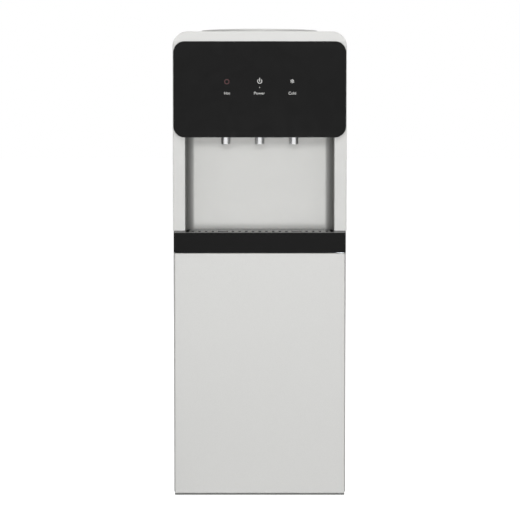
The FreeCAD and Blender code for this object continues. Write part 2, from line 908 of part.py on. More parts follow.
def make_front_housing():
    """Front frame: two pillars and the head with round shoulders and a sloping brow."""
    housing = make_body("front_housing")
    sketch = front_sketch(housing, SKIN)
    draw_outline(sketch, [
        ("-width / 2", HOUSING_FOOT),
        ("-width / 2", "casing_top", "corner_round"),
        ("width / 2", "casing_top", "corner_round"),
        ("width / 2", HOUSING_FOOT),
        (ALCOVE_SIDE, HOUSING_FOOT),
        (ALCOVE_SIDE, "alcove_top"),
        (f"-{ALCOVE_SIDE}", "alcove_top"),
        (f"-{ALCOVE_SIDE}", HOUSING_FOOT),
    ])
    pad(housing, sketch, "housing_depth")
    slope = side_sketch(housing, "0")
    draw_outline(slope, [
        (f"{FACE} - slope_run", "casing_top - 2 * slope_rise"),
        (f"{FACE} + 2 * slope_run", "casing_top + slope_rise"),
        (f"{FACE} - slope_run", "casing_top + slope_rise"),
    ])
    pocket(housing, slope)
    hollow = front_sketch(housing, SKIN)
    inner = "(width / 2 - moulding_wall)"
    pillar = f"({ALCOVE_SIDE} + moulding_wall)"
    brow = "(casing_top - slope_rise - moulding_wall)"
    draw_outline(hollow, [
        (f"-{inner}", f"{HOUSING_FOOT} + moulding_wall"),
        (f"-{inner}", brow, "panel_round"),
        (inner, brow, "panel_round"),
        (inner, f"{HOUSING_FOOT} + moulding_wall"),
        (pillar, f"{HOUSING_FOOT} + moulding_wall"),
        (pillar, DECK),
        (f"-{pillar}", DECK),
        (f"-{pillar}", f"{HOUSING_FOOT} + moulding_wall"),
    ])
    pocket(housing, hollow, "housing_depth - moulding_wall", along=True)
    window = front_sketch(housing, FACE)
    draw_box(window, "-window_width / 2", "window_width / 2",
             f"{ICON_Z} - window_height / 2", f"{ICON_Z} + window_height / 2")
    pocket(housing, window, "moulding_wall")
    round_edges(housing, "edge_round", lies_at(x=("-width / 2", "width / 2"), y=(FACE,)))
    round_edges(housing, "edge_round", lies_at(x=(f"-{ALCOVE_SIDE}", ALCOVE_SIDE), y=(FACE,)))


def make_control_panel():
    """Flat face with round corners, thinned behind the indicators."""
    panel = make_body("control_panel")
    sketch = front_sketch(panel, FACE)
    draw_box(sketch, f"-{PANEL_SIDE}", PANEL_SIDE, "panel_bottom", "panel_top",
             "panel_round")
    pad(panel, sketch, "face_step")
    round_edges(panel, "edge_round", lies_at(y=(FRONT,)))
    window = front_sketch(panel, FACE)
    draw_box(window, "-window_width / 2", "window_width / 2",
             f"{ICON_Z} - window_height / 2", f"{ICON_Z} + window_height / 2")
    pocket(panel, window, "face_step / 2", along=True)


def make_display_board():
    """Indicator board on four spacers, a lamp behind each symbol."""
    board = make_body("display_board")
    wall = f"({FACE} + moulding_wall)"
    half_x = "(window_width / 2 + board_margin)"
    half_z = "(window_height / 2 + board_margin)"
    sketch = front_sketch(board, f"{wall} + board_standoff + board_wall")
    draw_box(sketch, f"-{half_x}", half_x, f"{ICON_Z} - {half_z}", f"{ICON_Z} + {half_z}")
    pad(board, sketch, "board_wall")
    spacers = front_sketch(board, f"{wall} + board_standoff")
    for x in (f"-({half_x} - board_margin / 2)", f"({half_x} - board_margin / 2)"):
        for z in (f"{ICON_Z} - ({half_z} - board_margin / 2)",
                  f"{ICON_Z} + ({half_z} - board_margin / 2)"):
            draw_circle(spacers, x, z, "spacer_radius")
    pad(board, spacers, "board_standoff")
    for x in ("-icon_pitch", "0", "icon_pitch"):
        lamp = front_sketch(board, f"{wall} + board_standoff")
        draw_box(lamp, f"{x} - lamp_size / 2", f"{x} + lamp_size / 2",
                 f"{ICON_Z} - lamp_size / 2", f"{ICON_Z} + lamp_size / 2")
        pad(board, lamp, "lamp_height")


def make_alcove_liner():
    """Moulded recess with round rear corners, a flange round its mouth and tap slots."""
    liner = make_body("alcove_liner")
    outer = f"({ALCOVE_SIDE} + moulding_wall)"
    back = front_sketch(liner, f"{ALCOVE_BACK} + moulding_wall")
    draw_box(back, f"-{outer}", outer, "shelf_top", DECK)
    pad(liner, back, f"{ALCOVE_BACK} + moulding_wall - {SKIN}")
    round_edges(liner, "alcove_round + moulding_wall",
                lies_at(x=(f"-{outer}", outer), y=(f"{ALCOVE_BACK} + moulding_wall",)))
    mouth = plan_sketch(liner, "alcove_top")
    draw_outline(mouth, [
        (f"-{ALCOVE_SIDE}", SKIN),
        (ALCOVE_SIDE, SKIN),
        (ALCOVE_SIDE, ALCOVE_BACK, "alcove_round"),
        (f"-{ALCOVE_SIDE}", ALCOVE_BACK, "alcove_round"),
    ])
    pocket(liner, mouth, "alcove_top - shelf_top - moulding_wall")
    rim = front_sketch(liner, f"{SKIN} + moulding_wall")
    edge = f"({SIDE} - panel_flange - seam)"
    draw_outline(rim, [
        (f"-{edge}", "shelf_top"),
        (f"-{edge}", f"{DECK} + panel_flange"),
        (edge, f"{DECK} + panel_flange"),
        (edge, "shelf_top"),
        (ALCOVE_SIDE, "shelf_top"),
        (ALCOVE_SIDE, "alcove_top"),
        (f"-{ALCOVE_SIDE}", "alcove_top"),
        (f"-{ALCOVE_SIDE}", "shelf_top"),
    ])
    pad(liner, rim, "moulding_wall")
    slots = plan_sketch(liner, DECK)
    for x in ("-tap_pitch", "0", "tap_pitch"):
        draw_tap_slot(slots, x)
    pocket(liner, slots, "moulding_wall")


def draw_tap_slot(sketch, x):
    """Opening in which a spout hangs and swings back."""
    draw_box(sketch, f"{x} - slot_half", f"{x} + slot_half",
             f"{TAP_Y} - slot_front", f"{TAP_Y} + slot_back", "tap_wall")


def make_top_cover():
    """Moulded top with round shoulders and a collar round the well."""
    cover = make_body("top_cover")
    outline = front_sketch(cover, REAR)
    draw_outline(outline, [
        ("-width / 2", "shoulder"),
        ("-width / 2", "casing_top", "corner_round"),
        ("width / 2", "casing_top", "corner_round"),
        ("width / 2", "shoulder"),
    ])
    pad(cover, outline, f"{REAR} - {SKIN}")
    rear = value(REAR)
    foot = value("shoulder")

    def rear_rim(edge):
        box = edge.BoundBox
        behind = abs(box.YMin - rear) < TOUCH and abs(box.YMax - rear) < TOUCH
        return behind and box.ZMax > foot + value("edge_round")

    round_edges(cover, "rear_edge_round", rear_rim)
    hollow = front_sketch(cover, f"{REAR} - moulding_wall")
    inner = "(width / 2 - moulding_wall)"
    draw_outline(hollow, [
        (f"-{inner}", "shoulder"),
        (f"-{inner}", "casing_top - moulding_wall", "corner_round - moulding_wall"),
        (inner, "casing_top - moulding_wall", "corner_round - moulding_wall"),
        (inner, "shoulder"),
    ])
    pocket(cover, hollow, f"{REAR} - moulding_wall - {SKIN}", along=True)
    collar = plan_sketch(cover, "collar_bottom")
    draw_circle(collar, "0", "well_y", "well_radius + moulding_wall")
    pad(cover, collar, "casing_top - collar_bottom")
    well = plan_sketch(cover, "casing_top")
    draw_circle(well, "0", "well_y", "well_radius")
    pocket(cover, well, "casing_top - collar_bottom")


def make_top_cap():
    """Lift-off cap over the well."""
    cap = make_body("top_cap", "0", "well_y")
    skirt = "(well_radius - skirt_gap_round)"
    spin(cap, [
        ("0", "casing_top + cap_rise"),
        ("cap_radius", "casing_top + cap_rise", "cap_edge"),
        ("cap_radius", "casing_top"),
        (skirt, "casing_top"),
        (skirt, "casing_top - skirt_drop"),
        (f"{skirt} - skirt_wall", "casing_top - skirt_drop"),
        (f"{skirt} - skirt_wall", "casing_top + cap_rise - cap_wall"),
        ("0", "casing_top + cap_rise - cap_wall"),
    ])


# ---- drip tray ----

def make_drip_tray():
    """Moulded tray: a wide front band and the basin behind it."""
    tray = make_body("drip_tray")
    band = front_sketch(tray, TRAY_BACK)
    draw_box(band, f"-{TRAY_SIDE}", TRAY_SIDE, "tray_bottom", "tray_top")
    pad(tray, band, "tray_depth")
    round_edges(tray, "tray_bevel", lies_at(y=(FRONT,), z=("tray_top",)), "PartDesign::Chamfer")
    hollow = front_sketch(tray, TRAY_BACK)
    inner = f"({TRAY_SIDE} - moulding_wall)"
    draw_box(hollow, f"-{inner}", inner, "tray_bottom", "tray_top - moulding_wall - tray_bevel / 2")
    pocket(tray, hollow, "tray_depth - moulding_wall", along=True)
    notch = plan_sketch(tray, "tray_top")
    draw_box(notch, f"-{BASIN_SIDE}", BASIN_SIDE, FRONT, TRAY_BACK)
    pocket(tray, notch, "grille_drop")
    basin = plan_sketch(tray, BASIN_FLOOR)
    draw_outline(basin, [
        (f"-{BASIN_SIDE}", f"{FRONT} + moulding_wall"),
        (BASIN_SIDE, f"{FRONT} + moulding_wall"),
        (BASIN_SIDE, BASIN_BACK, "alcove_round"),
        (f"-{BASIN_SIDE}", BASIN_BACK, "alcove_round"),
    ])
    pad(tray, basin, f"{BASIN_TOP} - {BASIN_FLOOR}")
    seat = plan_sketch(tray, BASIN_TOP)
    draw_outline(seat, [
        (f"-{SEAT_SIDE}", SEAT_FRONT),
        (SEAT_SIDE, SEAT_FRONT),
        (SEAT_SIDE, SEAT_BACK, "alcove_round - grille_side_rim"),
        (f"-{SEAT_SIDE}", SEAT_BACK, "alcove_round - grille_side_rim"),
    ])
    pocket(tray, seat, "grille_sheet")
    bowl = plan_sketch(tray, f"{BASIN_TOP} - grille_sheet")
    draw_box(bowl, f"grille_ledge - {SEAT_SIDE}", f"{SEAT_SIDE} - grille_ledge",
             f"{SEAT_FRONT} + grille_ledge", f"{SEAT_BACK} - grille_ledge", "basin_round")
    pocket(tray, bowl, f"{BASIN_TOP} - grille_sheet - {BASIN_FLOOR} - moulding_wall")


def make_drip_grille():
    """Plate with a row of slots and two wide finger openings."""
    grille = make_body("drip_grille")
    front = f"({SEAT_FRONT} + seam)"
    back = f"({SEAT_BACK} - seam)"
    middle = f"({FRONT} + slot_setback)"
    edge = f"({SEAT_SIDE} - seam)"
    plate = plan_sketch(grille, f"{BASIN_TOP} - grille_sheet")
    draw_outline(plate, [
        (f"-{edge}", front),
        (edge, front),
        (edge, back, "alcove_round - grille_side_rim"),
        (f"-{edge}", back, "alcove_round - grille_side_rim"),
    ])
    pad(grille, plate, "grille_sheet")
    # a finger opening stands between the middle slots and those of each side
    sides = int(value("side_slots"))
    middles = int(value("middle_slots"))
    first_middle = (middles - 1) // 2
    first_side = first_middle + int(value("finger_slots")) + 1
    last_side = first_side + sides - 1
    for first, count in ((-last_side, sides), (-first_middle, middles), (first_side, sides)):
        slot = plan_sketch(grille, BASIN_TOP)
        draw_box(slot, f"{first} * slot_pitch - slot_width / 2",
                 f"{first} * slot_pitch + slot_width / 2",
                 f"{middle} - slot_length / 2", f"{middle} + slot_length / 2",
                 "(slot_width - slot_flat) / 2")
        cut = pocket(grille, slot, "grille_sheet")
        spread(grille, cut, "H_Axis", f"{count - 1} * slot_pitch", str(count))
    fingers = plan_sketch(grille, BASIN_TOP)
    for sign in ("-", ""):
        place = f"({sign}({first_middle + first_side}) / 2 * slot_pitch)"
        draw_box(fingers, f"{place} - finger_width / 2", f"{place} + finger_width / 2",
                 f"{middle} - slot_length / 2", f"{middle} + slot_length / 2",
                 "(slot_width - slot_flat) / 2")
    pocket(grille, fingers, "grille_sheet")


# ---- taps ----

def make_tap(side, x):
    """Valve body with its port, and the swinging spout that hangs in it."""
    tap = make_body(f"tap_body_{side}", x, TAP_Y)
    block = plan_sketch(tap, DECK)
    draw_box(block, "-slot_half - tap_wall", "slot_half + tap_wall",
             "-slot_front - tap_wall", "slot_back + tap_wall / 2", "tap_wall")
    pad(tap, block, "tap_height")
    cavity = plan_sketch(tap, DECK)
    draw_box(cavity, "-slot_half", "slot_half", "-slot_front", "slot_back", "tap_wall")
    pocket(tap, cavity, "tap_cavity", along=True)
    pivot = side_sketch(tap, "0")
    draw_circle(pivot, "0", "pivot_height", "pivot_radius + pivot_gap")
    pocket(tap, pivot)
    bonnet = plan_sketch(tap, TAP_TOP)
    draw_circle(bonnet, "0", "0", "bonnet_radius")
    pad(tap, bonnet, "bonnet_height")
    port = plan_sketch(tap, f"{TAP_TOP} + bonnet_height")
    draw_circle(port, "0", "0", "port_radius")
    pad(tap, port, "port_length")

    spout = make_body(f"spout_{side}", x, TAP_Y)
    spin(spout, [
        ("spout_bore", "spout_bottom"),
        ("spout_radius", "spout_bottom", "spout_edge"),
        ("spout_radius", "spout_shoulder", "spout_edge"),
        ("0", "spout_shoulder"),
        ("0", "spout_bottom + spout_bore_depth"),
        ("spout_bore", "spout_bottom + spout_bore_depth"),
    ])
    lug = plan_sketch(spout, "spout_shoulder")
    draw_box(lug, "-lug_width / 2", "lug_width / 2", "-lug_depth / 2", "lug_depth / 2", "spout_edge")
    pad(spout, lug, "pivot_height + lug_top - spout_shoulder")
    bore = side_sketch(spout, "0")
    draw_circle(bore, "0", "pivot_height", "pivot_radius + pivot_gap")
    pocket(spout, bore)


def make_taps():
    """Three taps on the alcove's ceiling, and the pins that their spouts swing on."""
    places = {"hot": "-tap_pitch", "room": "0", "cold": "tap_pitch"}
    pins = []
    for side, x in places.items():
        make_tap(side, x)
        length = "2 * slot_half + 2 * tap_wall - 2 * seam"
        pins.append(make_rod(f"pin_{side}", f"{x} - ({length}) / 2", TAP_Y, "pivot_height",
                             "pivot_radius", length, (1, 0, 0)))
    make_group("tap_pivot_pins", pins)


# ---- cold water ----

def make_tank_deck():
    """Sheet deck on the alcove's ceiling, with its sides turned up."""
    deck = make_body("tank_deck")
    rear = f"({PAN_REAR} - bend_round)"
    profile = front_sketch(deck, rear)
    inner = f"({PAN_SIDE} - sheet_wall)"
    draw_outline(profile, [
        (f"-{PAN_SIDE}", DECK),
        (PAN_SIDE, DECK),
        (PAN_SIDE, f"{DECK} + deck_rise"),
        (inner, f"{DECK} + deck_rise"),
        (inner, DECK_TOP),
        (f"-{inner}", DECK_TOP),
        (f"-{inner}", f"{DECK} + deck_rise"),
        (f"-{PAN_SIDE}", f"{DECK} + deck_rise"),
    ])
    pad(deck, profile, f"{rear} - ({FRONT} + deck_front)")
    holes = plan_sketch(deck, DECK_TOP)
    for x, y in ((FEED[0], FEED[1]), (HOT_FEED[0], HOT_FEED[1]), (HOT_RISER[0], HOT_RISER[1]),
                 ("return_x", RETURN_Y), (LINE_X, DRIER_Y)):
        draw_circle(holes, x, y, "hose_hole")
    pocket(deck, holes, "sheet_wall")


def make_cold_jacket():
    """Foam jacket of the cold tank, with a rim that carries the well's collar."""
    jacket = make_body("cold_tank_jacket", "0", "well_y")
    spin(jacket, [
        ("0", DECK_TOP),
        ("jacket_radius", DECK_TOP),
        ("jacket_radius", "collar_bottom - jacket_rim"),
        ("jacket_rim_radius", "collar_bottom - jacket_rim"),
        ("jacket_rim_radius", "collar_bottom"),
        ("jacket_bore", "collar_bottom"),
        ("jacket_bore", TANK_FLOOR),
        ("0", TANK_FLOOR),
    ])
    holes = plan_sketch(jacket, DECK_TOP)
    for x, y in (FEED, HOT_FEED):
        draw_circle(holes, x, f"{y} - well_y", "port_radius + 2 * seam")
    pocket(jacket, holes, "jacket_floor", along=True)


def make_cold_tank():
    """Drawn steel tank with a lip, and two stubs for the hoses below."""
    tank = make_body("cold_tank", "0", "well_y")
    spin(tank, [
        ("0", TANK_FLOOR),
        ("cold_radius", TANK_FLOOR, "tank_round"),
        ("cold_radius", "collar_bottom"),
        ("tank_lip", "collar_bottom"),
        ("tank_lip", "collar_bottom + tank_wall"),
        ("cold_radius - tank_wall", "collar_bottom + tank_wall"),
        ("cold_radius - tank_wall", f"{TANK_FLOOR} + tank_wall", "tank_round - tank_wall"),
        ("0", f"{TANK_FLOOR} + tank_wall"),
    ])
    stubs = plan_sketch(tank, STUB_END)
    for x, y in (FEED, HOT_FEED):
        draw_circle(stubs, x, f"{y} - well_y", "port_radius")
    pad(tank, stubs, f"{TANK_FLOOR} + tank_wall - {STUB_END}")


def make_evaporator():
    """Sleeve round the cold tank with raised refrigerant channels."""
    sleeve = make_body("evaporator_sleeve", "0", "well_y")
    low = f"({TANK_FLOOR} + sleeve_low)"
    inner = "(cold_radius + sleeve_gap)"
    outer = f"({inner} + sleeve_wall)"
    spin(sleeve, [
        (inner, low),
        (outer, low),
        (outer, f"{low} + sleeve_height"),
        (inner, f"{low} + sleeve_height"),
    ])
    channel = front_sketch(sleeve, "0")
    foot = f"({outer} - sleeve_wall / 2)"
    draw_outline(channel, [
        (foot, f"{low} + 2 * channel_radius"),
        (f"{outer} + channel_radius", f"{low} + 3 * channel_radius"),
        (f"{outer} + channel_radius", f"{low} + 4 * channel_radius"),
        (foot, f"{low} + 5 * channel_radius"),
    ])
    ring = sleeve.newObject("PartDesign::Revolution", "evaporator_channel")
    ring.Profile = channel
    ring.ReferenceAxis = (channel, ["V_Axis"])
    ring.Angle = 360
    DOC.recompute()
    spread(sleeve, ring, "V_Axis", "(channel_count - 1) * channel_pitch", "channel_count")


def make_tank_lid():
    """Lid of the cold tank, with a plug that drops into its mouth."""
    lid = make_body("cold_tank_lid", "0", "well_y")
    seat = "(collar_bottom + tank_wall)"
    spin(lid, [
        ("0", f"{seat} + lid_wall"),
        ("lid_radius", f"{seat} + lid_wall", "edge_round"),
        ("lid_radius", seat),
        ("lid_plug", seat),
        ("lid_plug", f"{seat} - lid_plug_depth"),
        ("lid_plug - lid_wall", f"{seat} - lid_plug_depth"),
        ("lid_plug - lid_wall", seat),
        ("0", seat),
    ])


# ---- hot water ----

def make_hot_stand():
    """Folded stand that lifts the hot tank over the shelf."""
    stand = make_body("hot_tank_stand")
    left = "(hot_x - stand_half)"
    right = "(hot_x + stand_half)"
    profile = front_sketch(stand, "hot_y + stand_depth / 2")
    draw_outline(profile, [
        (f"{left} - stand_foot", "shelf_top"),
        (f"{left} + sheet_wall", "shelf_top"),
        (f"{left} + sheet_wall", f"{HOT_FLOOR} - sheet_wall"),
        (f"{right} - sheet_wall", f"{HOT_FLOOR} - sheet_wall"),
        (f"{right} - sheet_wall", "shelf_top"),
        (f"{right} + stand_foot", "shelf_top"),
        (f"{right} + stand_foot", "shelf_top + sheet_wall"),
        (right, "shelf_top + sheet_wall"),
        (right, HOT_FLOOR),
        (left, HOT_FLOOR),
        (left, "shelf_top + sheet_wall"),
        (f"{left} - stand_foot", "shelf_top + sheet_wall"),
    ])
    pad(stand, profile, "stand_depth")


def make_hot_tank():
    """Hot tank with round edges and a port for each of its two hoses."""
    tank = make_body("hot_tank", "hot_x", "hot_y")
    spin(tank, [
        ("0", HOT_BASE),
        ("hot_radius", HOT_BASE, "hot_round"),
        ("hot_radius", HOT_TOP, "hot_round"),
        ("0", HOT_TOP),
        ("0", f"{HOT_TOP} - tank_wall"),
        ("hot_radius - tank_wall", f"{HOT_TOP} - tank_wall", "hot_round - tank_wall"),
        ("hot_radius - tank_wall", f"{HOT_BASE} + tank_wall", "hot_round - tank_wall"),
        ("0", f"{HOT_BASE} + tank_wall"),
    ])
    ports = plan_sketch(tank, HOT_TOP)
    for x in ("-hot_port", "hot_port"):
        draw_circle(ports, x, "0", "port_radius - tank_wall")
    pocket(tank, ports, "tank_wall")


def make_hot_jacket():
    """Foam jacket round the hot tank, open for its two hoses."""
    jacket = make_body("hot_tank_jacket", "hot_x", "hot_y")
    spin(jacket, [
        ("0", HOT_FLOOR),
        (HOT_OUTER, HOT_FLOOR, "tank_round"),
        (HOT_OUTER, f"{HOT_TOP} + hot_cover", "tank_round"),
        ("0", f"{HOT_TOP} + hot_cover"),
        ("0", HOT_TOP),
        (HOT_BORE, HOT_TOP),
        (HOT_BORE, HOT_BASE),
        ("0", HOT_BASE),
    ])
    holes = plan_sketch(jacket, f"{HOT_TOP} + hot_cover")
    for x in ("-hot_port", "hot_port"):
        draw_circle(holes, x, "0", "port_radius + 2 * seam")
    pocket(jacket, holes, "hot_cover")


# ---- refrigeration ----

def make_compressor():
    """Welded two-shell compressor on a foot plate, with its line stubs."""
    comp = make_body("compressor", "comp_x", "comp_y")
    low = f"({COMP_FLOOR} + comp_plate_wall)"
    seam_low = f"({low} + comp_seam_height)"
    plate = plan_sketch(comp, COMP_FLOOR)
    draw_box(plate, "-comp_plate_x / 2", "comp_plate_x / 2",
             "-comp_plate_y / 2", "comp_plate_y / 2", "grommet_inset")
    pad(comp, plate, "comp_plate_wall")
    profile = front_sketch(comp, "0")
    draw_outline(profile, [
        ("0", f"{COMP_FLOOR} + comp_plate_wall / 2"),
        ("comp_radius - comp_round / 2", f"{COMP_FLOOR} + comp_plate_wall / 2"),
        ("comp_radius", f"{low} + comp_round / 2", "comp_round / 2"),
        ("comp_radius", seam_low),
        ("comp_radius + comp_seam", seam_low),
        ("comp_radius + comp_seam", f"{seam_low} + comp_seam"),
        ("comp_radius", f"{seam_low} + comp_seam"),
        ("comp_radius", f"{low} + comp_height", "comp_round"),
        ("0", f"{low} + comp_height"),
        ("0", f"{low} + comp_height - comp_wall"),
        ("comp_radius - comp_wall", f"{low} + comp_height - comp_wall", "comp_round - comp_wall"),
        ("comp_radius - comp_wall", f"{low} + comp_wall"),
        ("0", f"{low} + comp_wall"),
    ])
    shell = comp.newObject("PartDesign::Revolution", "compressor_shell")
    shell.Profile = profile
    shell.ReferenceAxis = (profile, ["V_Axis"])
    shell.Angle = 360
    DOC.recompute()
    stubs = front_sketch(comp, "comp_radius")
    draw_circle(stubs, "discharge_x - comp_x", "condenser_top", "line_radius + 2 * tank_wall")
    draw_circle(stubs, "return_x - comp_x", "return_height", "return_radius + tank_wall")
    pad(comp, stubs, "2 * comp_wall")
    box = front_sketch(comp, "-comp_radius + comp_seam")
    draw_box(box, "-comp_round", "comp_round / 2", f"{low} + comp_round / 2",
             f"{seam_low} - comp_seam", "comp_seam")
    pad(comp, box, "comp_round")


def make_grommets():
    """Rubber bushes between the compressor's foot plate and the shelf."""
    bushes = []
    for i, sx in enumerate(("-", "")):
        for j, sy in enumerate(("-", "")):
            x = f"comp_x + ({sx}1) * (comp_plate_x / 2 - grommet_inset)"
            y = f"comp_y + ({sy}1) * (comp_plate_y / 2 - grommet_inset)"
            bushes.append(make_rod(f"bush_{i}{j}", x, y, "shelf_top",
                                   "grommet_radius", "grommet_height"))
    make_group("compressor_grommets", bushes)


def make_condenser():
    """Serpentine tube behind the cooler, its wires and its stand-offs."""
    start_y = "(comp_y + comp_radius)"
    route = [
        ("discharge_x", start_y, "condenser_top"),
        ("discharge_x", CONDENSER_Y, "condenser_top"),
    ]
    runs = int(value("condenser_runs"))
    for run in range(runs):
        height = f"condenser_top - {run} * condenser_pitch"
        side = "-" if run % 2 == 0 else ""
        if run:
            route.append((f"{'' if run % 2 == 0 else '-'}{CONDENSER_SIDE}", CONDENSER_Y, height))
        if run < runs - 1:
            route.append((f"{side}{CONDENSER_SIDE}", CONDENSER_Y, height))
    route.append((LINE_X, CONDENSER_Y, CONDENSER_LOW))
    route.append((LINE_X, f"{DRIER_Y} + drier_radius + drier_gap", CONDENSER_LOW))
    make_tubes("condenser_tube", [(route, "line_radius", "line_bend")])
    wires = []
    for i in range(int(value("wire_count"))):
        x = f"({i} - (wire_count - 1) / 2) * wire_pitch"
        low = f"{CONDENSER_LOW} - wire_over"
        wires.append(make_rod(f"wire_{i}", x, "depth / 2 - wire_radius", low, "wire_radius",
                              f"condenser_top + wire_over - ({low})"))
    make_group("condenser_wires", wires)
    blocks = []
    for i, sign in enumerate(("-", "")):
        for j, height in enumerate(("condenser_top", CONDENSER_LOW)):
            block = DOC.addObject("Part::Box", f"standoff_{i}{j}")
            block.setExpression("Length", bound("clip_height"))
            block.setExpression("Width", bound(f"{CONDENSER_Y} - line_radius - {REAR}"))
            block.setExpression("Height", bound("2 * line_radius + clip_wall"))
            x = f"{sign}standoff_x - clip_height / 2"
            block.setExpression("Placement.Base.x", bound(x))
            block.setExpression("Placement.Base.y", bound(REAR))
            z = f"{height} - line_radius - clip_wall / 2"
            block.setExpression("Placement.Base.z", bound(z))
            blocks.append(block)
    make_group("condenser_standoffs", blocks)


def make_drier():
    """Filter drier in the gap behind the bay's rear wall."""
    drier = make_body("filter_drier", LINE_X, DRIER_Y)
    low = "drier_low"
    high = "(drier_low + drier_length)"
    neck = "(2 * thin_line_radius)"
    spin(drier, [
        ("0", low),
        (neck, low),
        ("drier_radius", f"{low} + drier_radius", "edge_round"),
        ("drier_radius", f"{high} - drier_radius", "edge_round"),
        (neck, high),
        ("0", high),
    ])


def toward_well(x, y):
    """Point on the jacket's skin on the way from a plan point to the well's axis."""
    reach = "(jacket_radius + seam)"
    far = f"(({x}) ^ 2 + (({y}) - well_y) ^ 2) ^ 0.5"
    return f"(({x}) * {reach} / {far})", f"(well_y + (({y}) - well_y) * {reach} / {far})"


def make_lines():
    """Capillary and suction line between the evaporator and the lower parts."""
    x, y = toward_well(LINE_X, DRIER_Y)
    capillary = [
        (LINE_X, DRIER_Y, "drier_low + drier_length"),
        (LINE_X, DRIER_Y, "tap_hose_z"),
        (x, y, "tap_hose_z"),
    ]
    x, y = toward_well("return_x", RETURN_Y)
    height = f"{TANK_FLOOR} + sleeve_low * 2"
    suction = [
        (x, y, height),
        ("return_x", RETURN_Y, height),
        ("return_x", RETURN_Y, "return_height"),
        ("return_x", "comp_y + comp_radius", "return_height"),
    ]
    make_tubes("refrigerant_lines", [
        (capillary, "thin_line_radius", "line_bend"),
        (suction, "return_radius", "return_bend"),
    ])


# ---- pump, hoses and probe ----

def make_pump():
    """Pump that draws the water up out of the bottle."""
    pump = make_body("water_pump", PUMP_X, "hose_y")
    floor = "shelf_top"
    head = "(shelf_top + sheet_wall + pump_head)"
    spin(pump, [
        ("0", floor),
        ("pump_flange_radius", floor),
        ("pump_flange_radius", f"{floor} + 2 * sheet_wall"),
        ("pump_head_radius", f"{floor} + 2 * sheet_wall"),
        ("pump_head_radius", head, "edge_round"),
        ("pump_motor_radius", head),
        ("pump_motor_radius", PUMP_TOP, "tap_wall"),
        ("port_radius", PUMP_TOP),
        ("port_radius", f"{PUMP_TOP} + port_length"),
        ("0", f"{PUMP_TOP} + port_length"),
    ])


def make_probe():
    """Suction probe with its bottle collar, parked upright in the bay's corner."""
    probe = make_body("bottle_probe", PROBE_X, "hose_y")
    collar = "(probe_top - probe_neck)"
    spin(probe, [
        ("0", "probe_bottom"),
        ("strainer_radius", "probe_bottom", "edge_round"),
        ("strainer_radius", "probe_bottom + strainer_height"),
        ("probe_radius", "probe_bottom + strainer_height"),
        ("probe_radius", f"{collar} - probe_cap_height"),
        ("probe_cap_radius", f"{collar} - probe_cap_height"),
        ("probe_cap_radius", collar, "cap_edge"),
        ("probe_radius", collar),
        ("probe_radius", "probe_top"),
        ("0", "probe_top"),
    ])


def make_clips():
    """Snap clips on the bay's rear wall for the probe and the hose."""
    clips = make_body("hose_clips")
    places = (
        (PROBE_X, "probe_clip_z", "probe_radius"),
        (LOOP_X, "hose_clip_z", "hose_radius"),
        (PUMP_X, "hose_clip_z", "hose_radius"),
    )
    for x, z, radius in places:
        bore = f"({radius} + clip_gap)"
        half = f"({bore} + clip_wall)"
        block = plan_sketch(clips, z)
        draw_box(block, f"{x} - {half}", f"{x} + {half}", "hose_y - clip_mouth", "bay_back")
        pad(clips, block, "clip_height")
        ring = plan_sketch(clips, f"{z} + clip_height")
        draw_circle(ring, x, "hose_y", bore)
        pocket(clips, ring, "clip_height")


def make_hoses():
    """Silicone hoses of the water circuit."""
    suction = [
        (PUMP_X, "hose_y", "shelf_top"),
        (PUMP_X, "hose_y", "loop_low"),
        (LOOP_X, "hose_y", "loop_low"),
        (LOOP_X, "hose_y", "loop_high"),
        (PROBE_X, "hose_y", "loop_high"),
        (PROBE_X, "hose_y", "probe_top"),
    ]
    make_tubes("suction_hose", [(suction, "hose_radius", "hose_bend")])
    start = f"({PUMP_TOP} + port_length)"
    feed = [
        (PUMP_X, "hose_y", start),
        (PUMP_X, "hose_y", f"{start} + feed_run"),
        (FEED[0], FEED[1], f"{STUB_END} - feed_run"),
        (FEED[0], FEED[1], STUB_END),
    ]
    hot_feed = [(HOT_FEED[0], HOT_FEED[1], HOT_TOP), (HOT_FEED[0], HOT_FEED[1], STUB_END)]
    drain = [
        ("hot_x", f"hot_y + {HOT_OUTER}", "drain_height"),
        ("hot_x", f"{REAR_INNER} - drain_nut", "drain_height"),
    ]
    make_tubes("tank_hoses", [(route, "port_radius", "tap_hose_bend")
                              for route in (feed, hot_feed, drain)])
    short = []
    for x in ("tap_pitch", "0"):
        end_x, end_y = toward_well(x, TAP_Y)
        short.append([(x, TAP_Y, PORT_TOP), (x, TAP_Y, "tap_hose_z"),
                      (end_x, end_y, "tap_hose_z")])
    hot = [
        ("-tap_pitch", TAP_Y, PORT_TOP),
        ("-tap_pitch", TAP_Y, "tap_hose_z"),
        (HOT_RISER[0], f"{TAP_Y} + tap_setback", "tap_hose_z"),
        (HOT_RISER[0], HOT_RISER[1], "tap_hose_z"),
        (HOT_RISER[0], HOT_RISER[1], HOT_TOP),
    ]
    make_tubes("tap_hoses", [(route, "port_radius", "tap_hose_bend") for route in (*short, hot)])


# ---- rear fittings ----

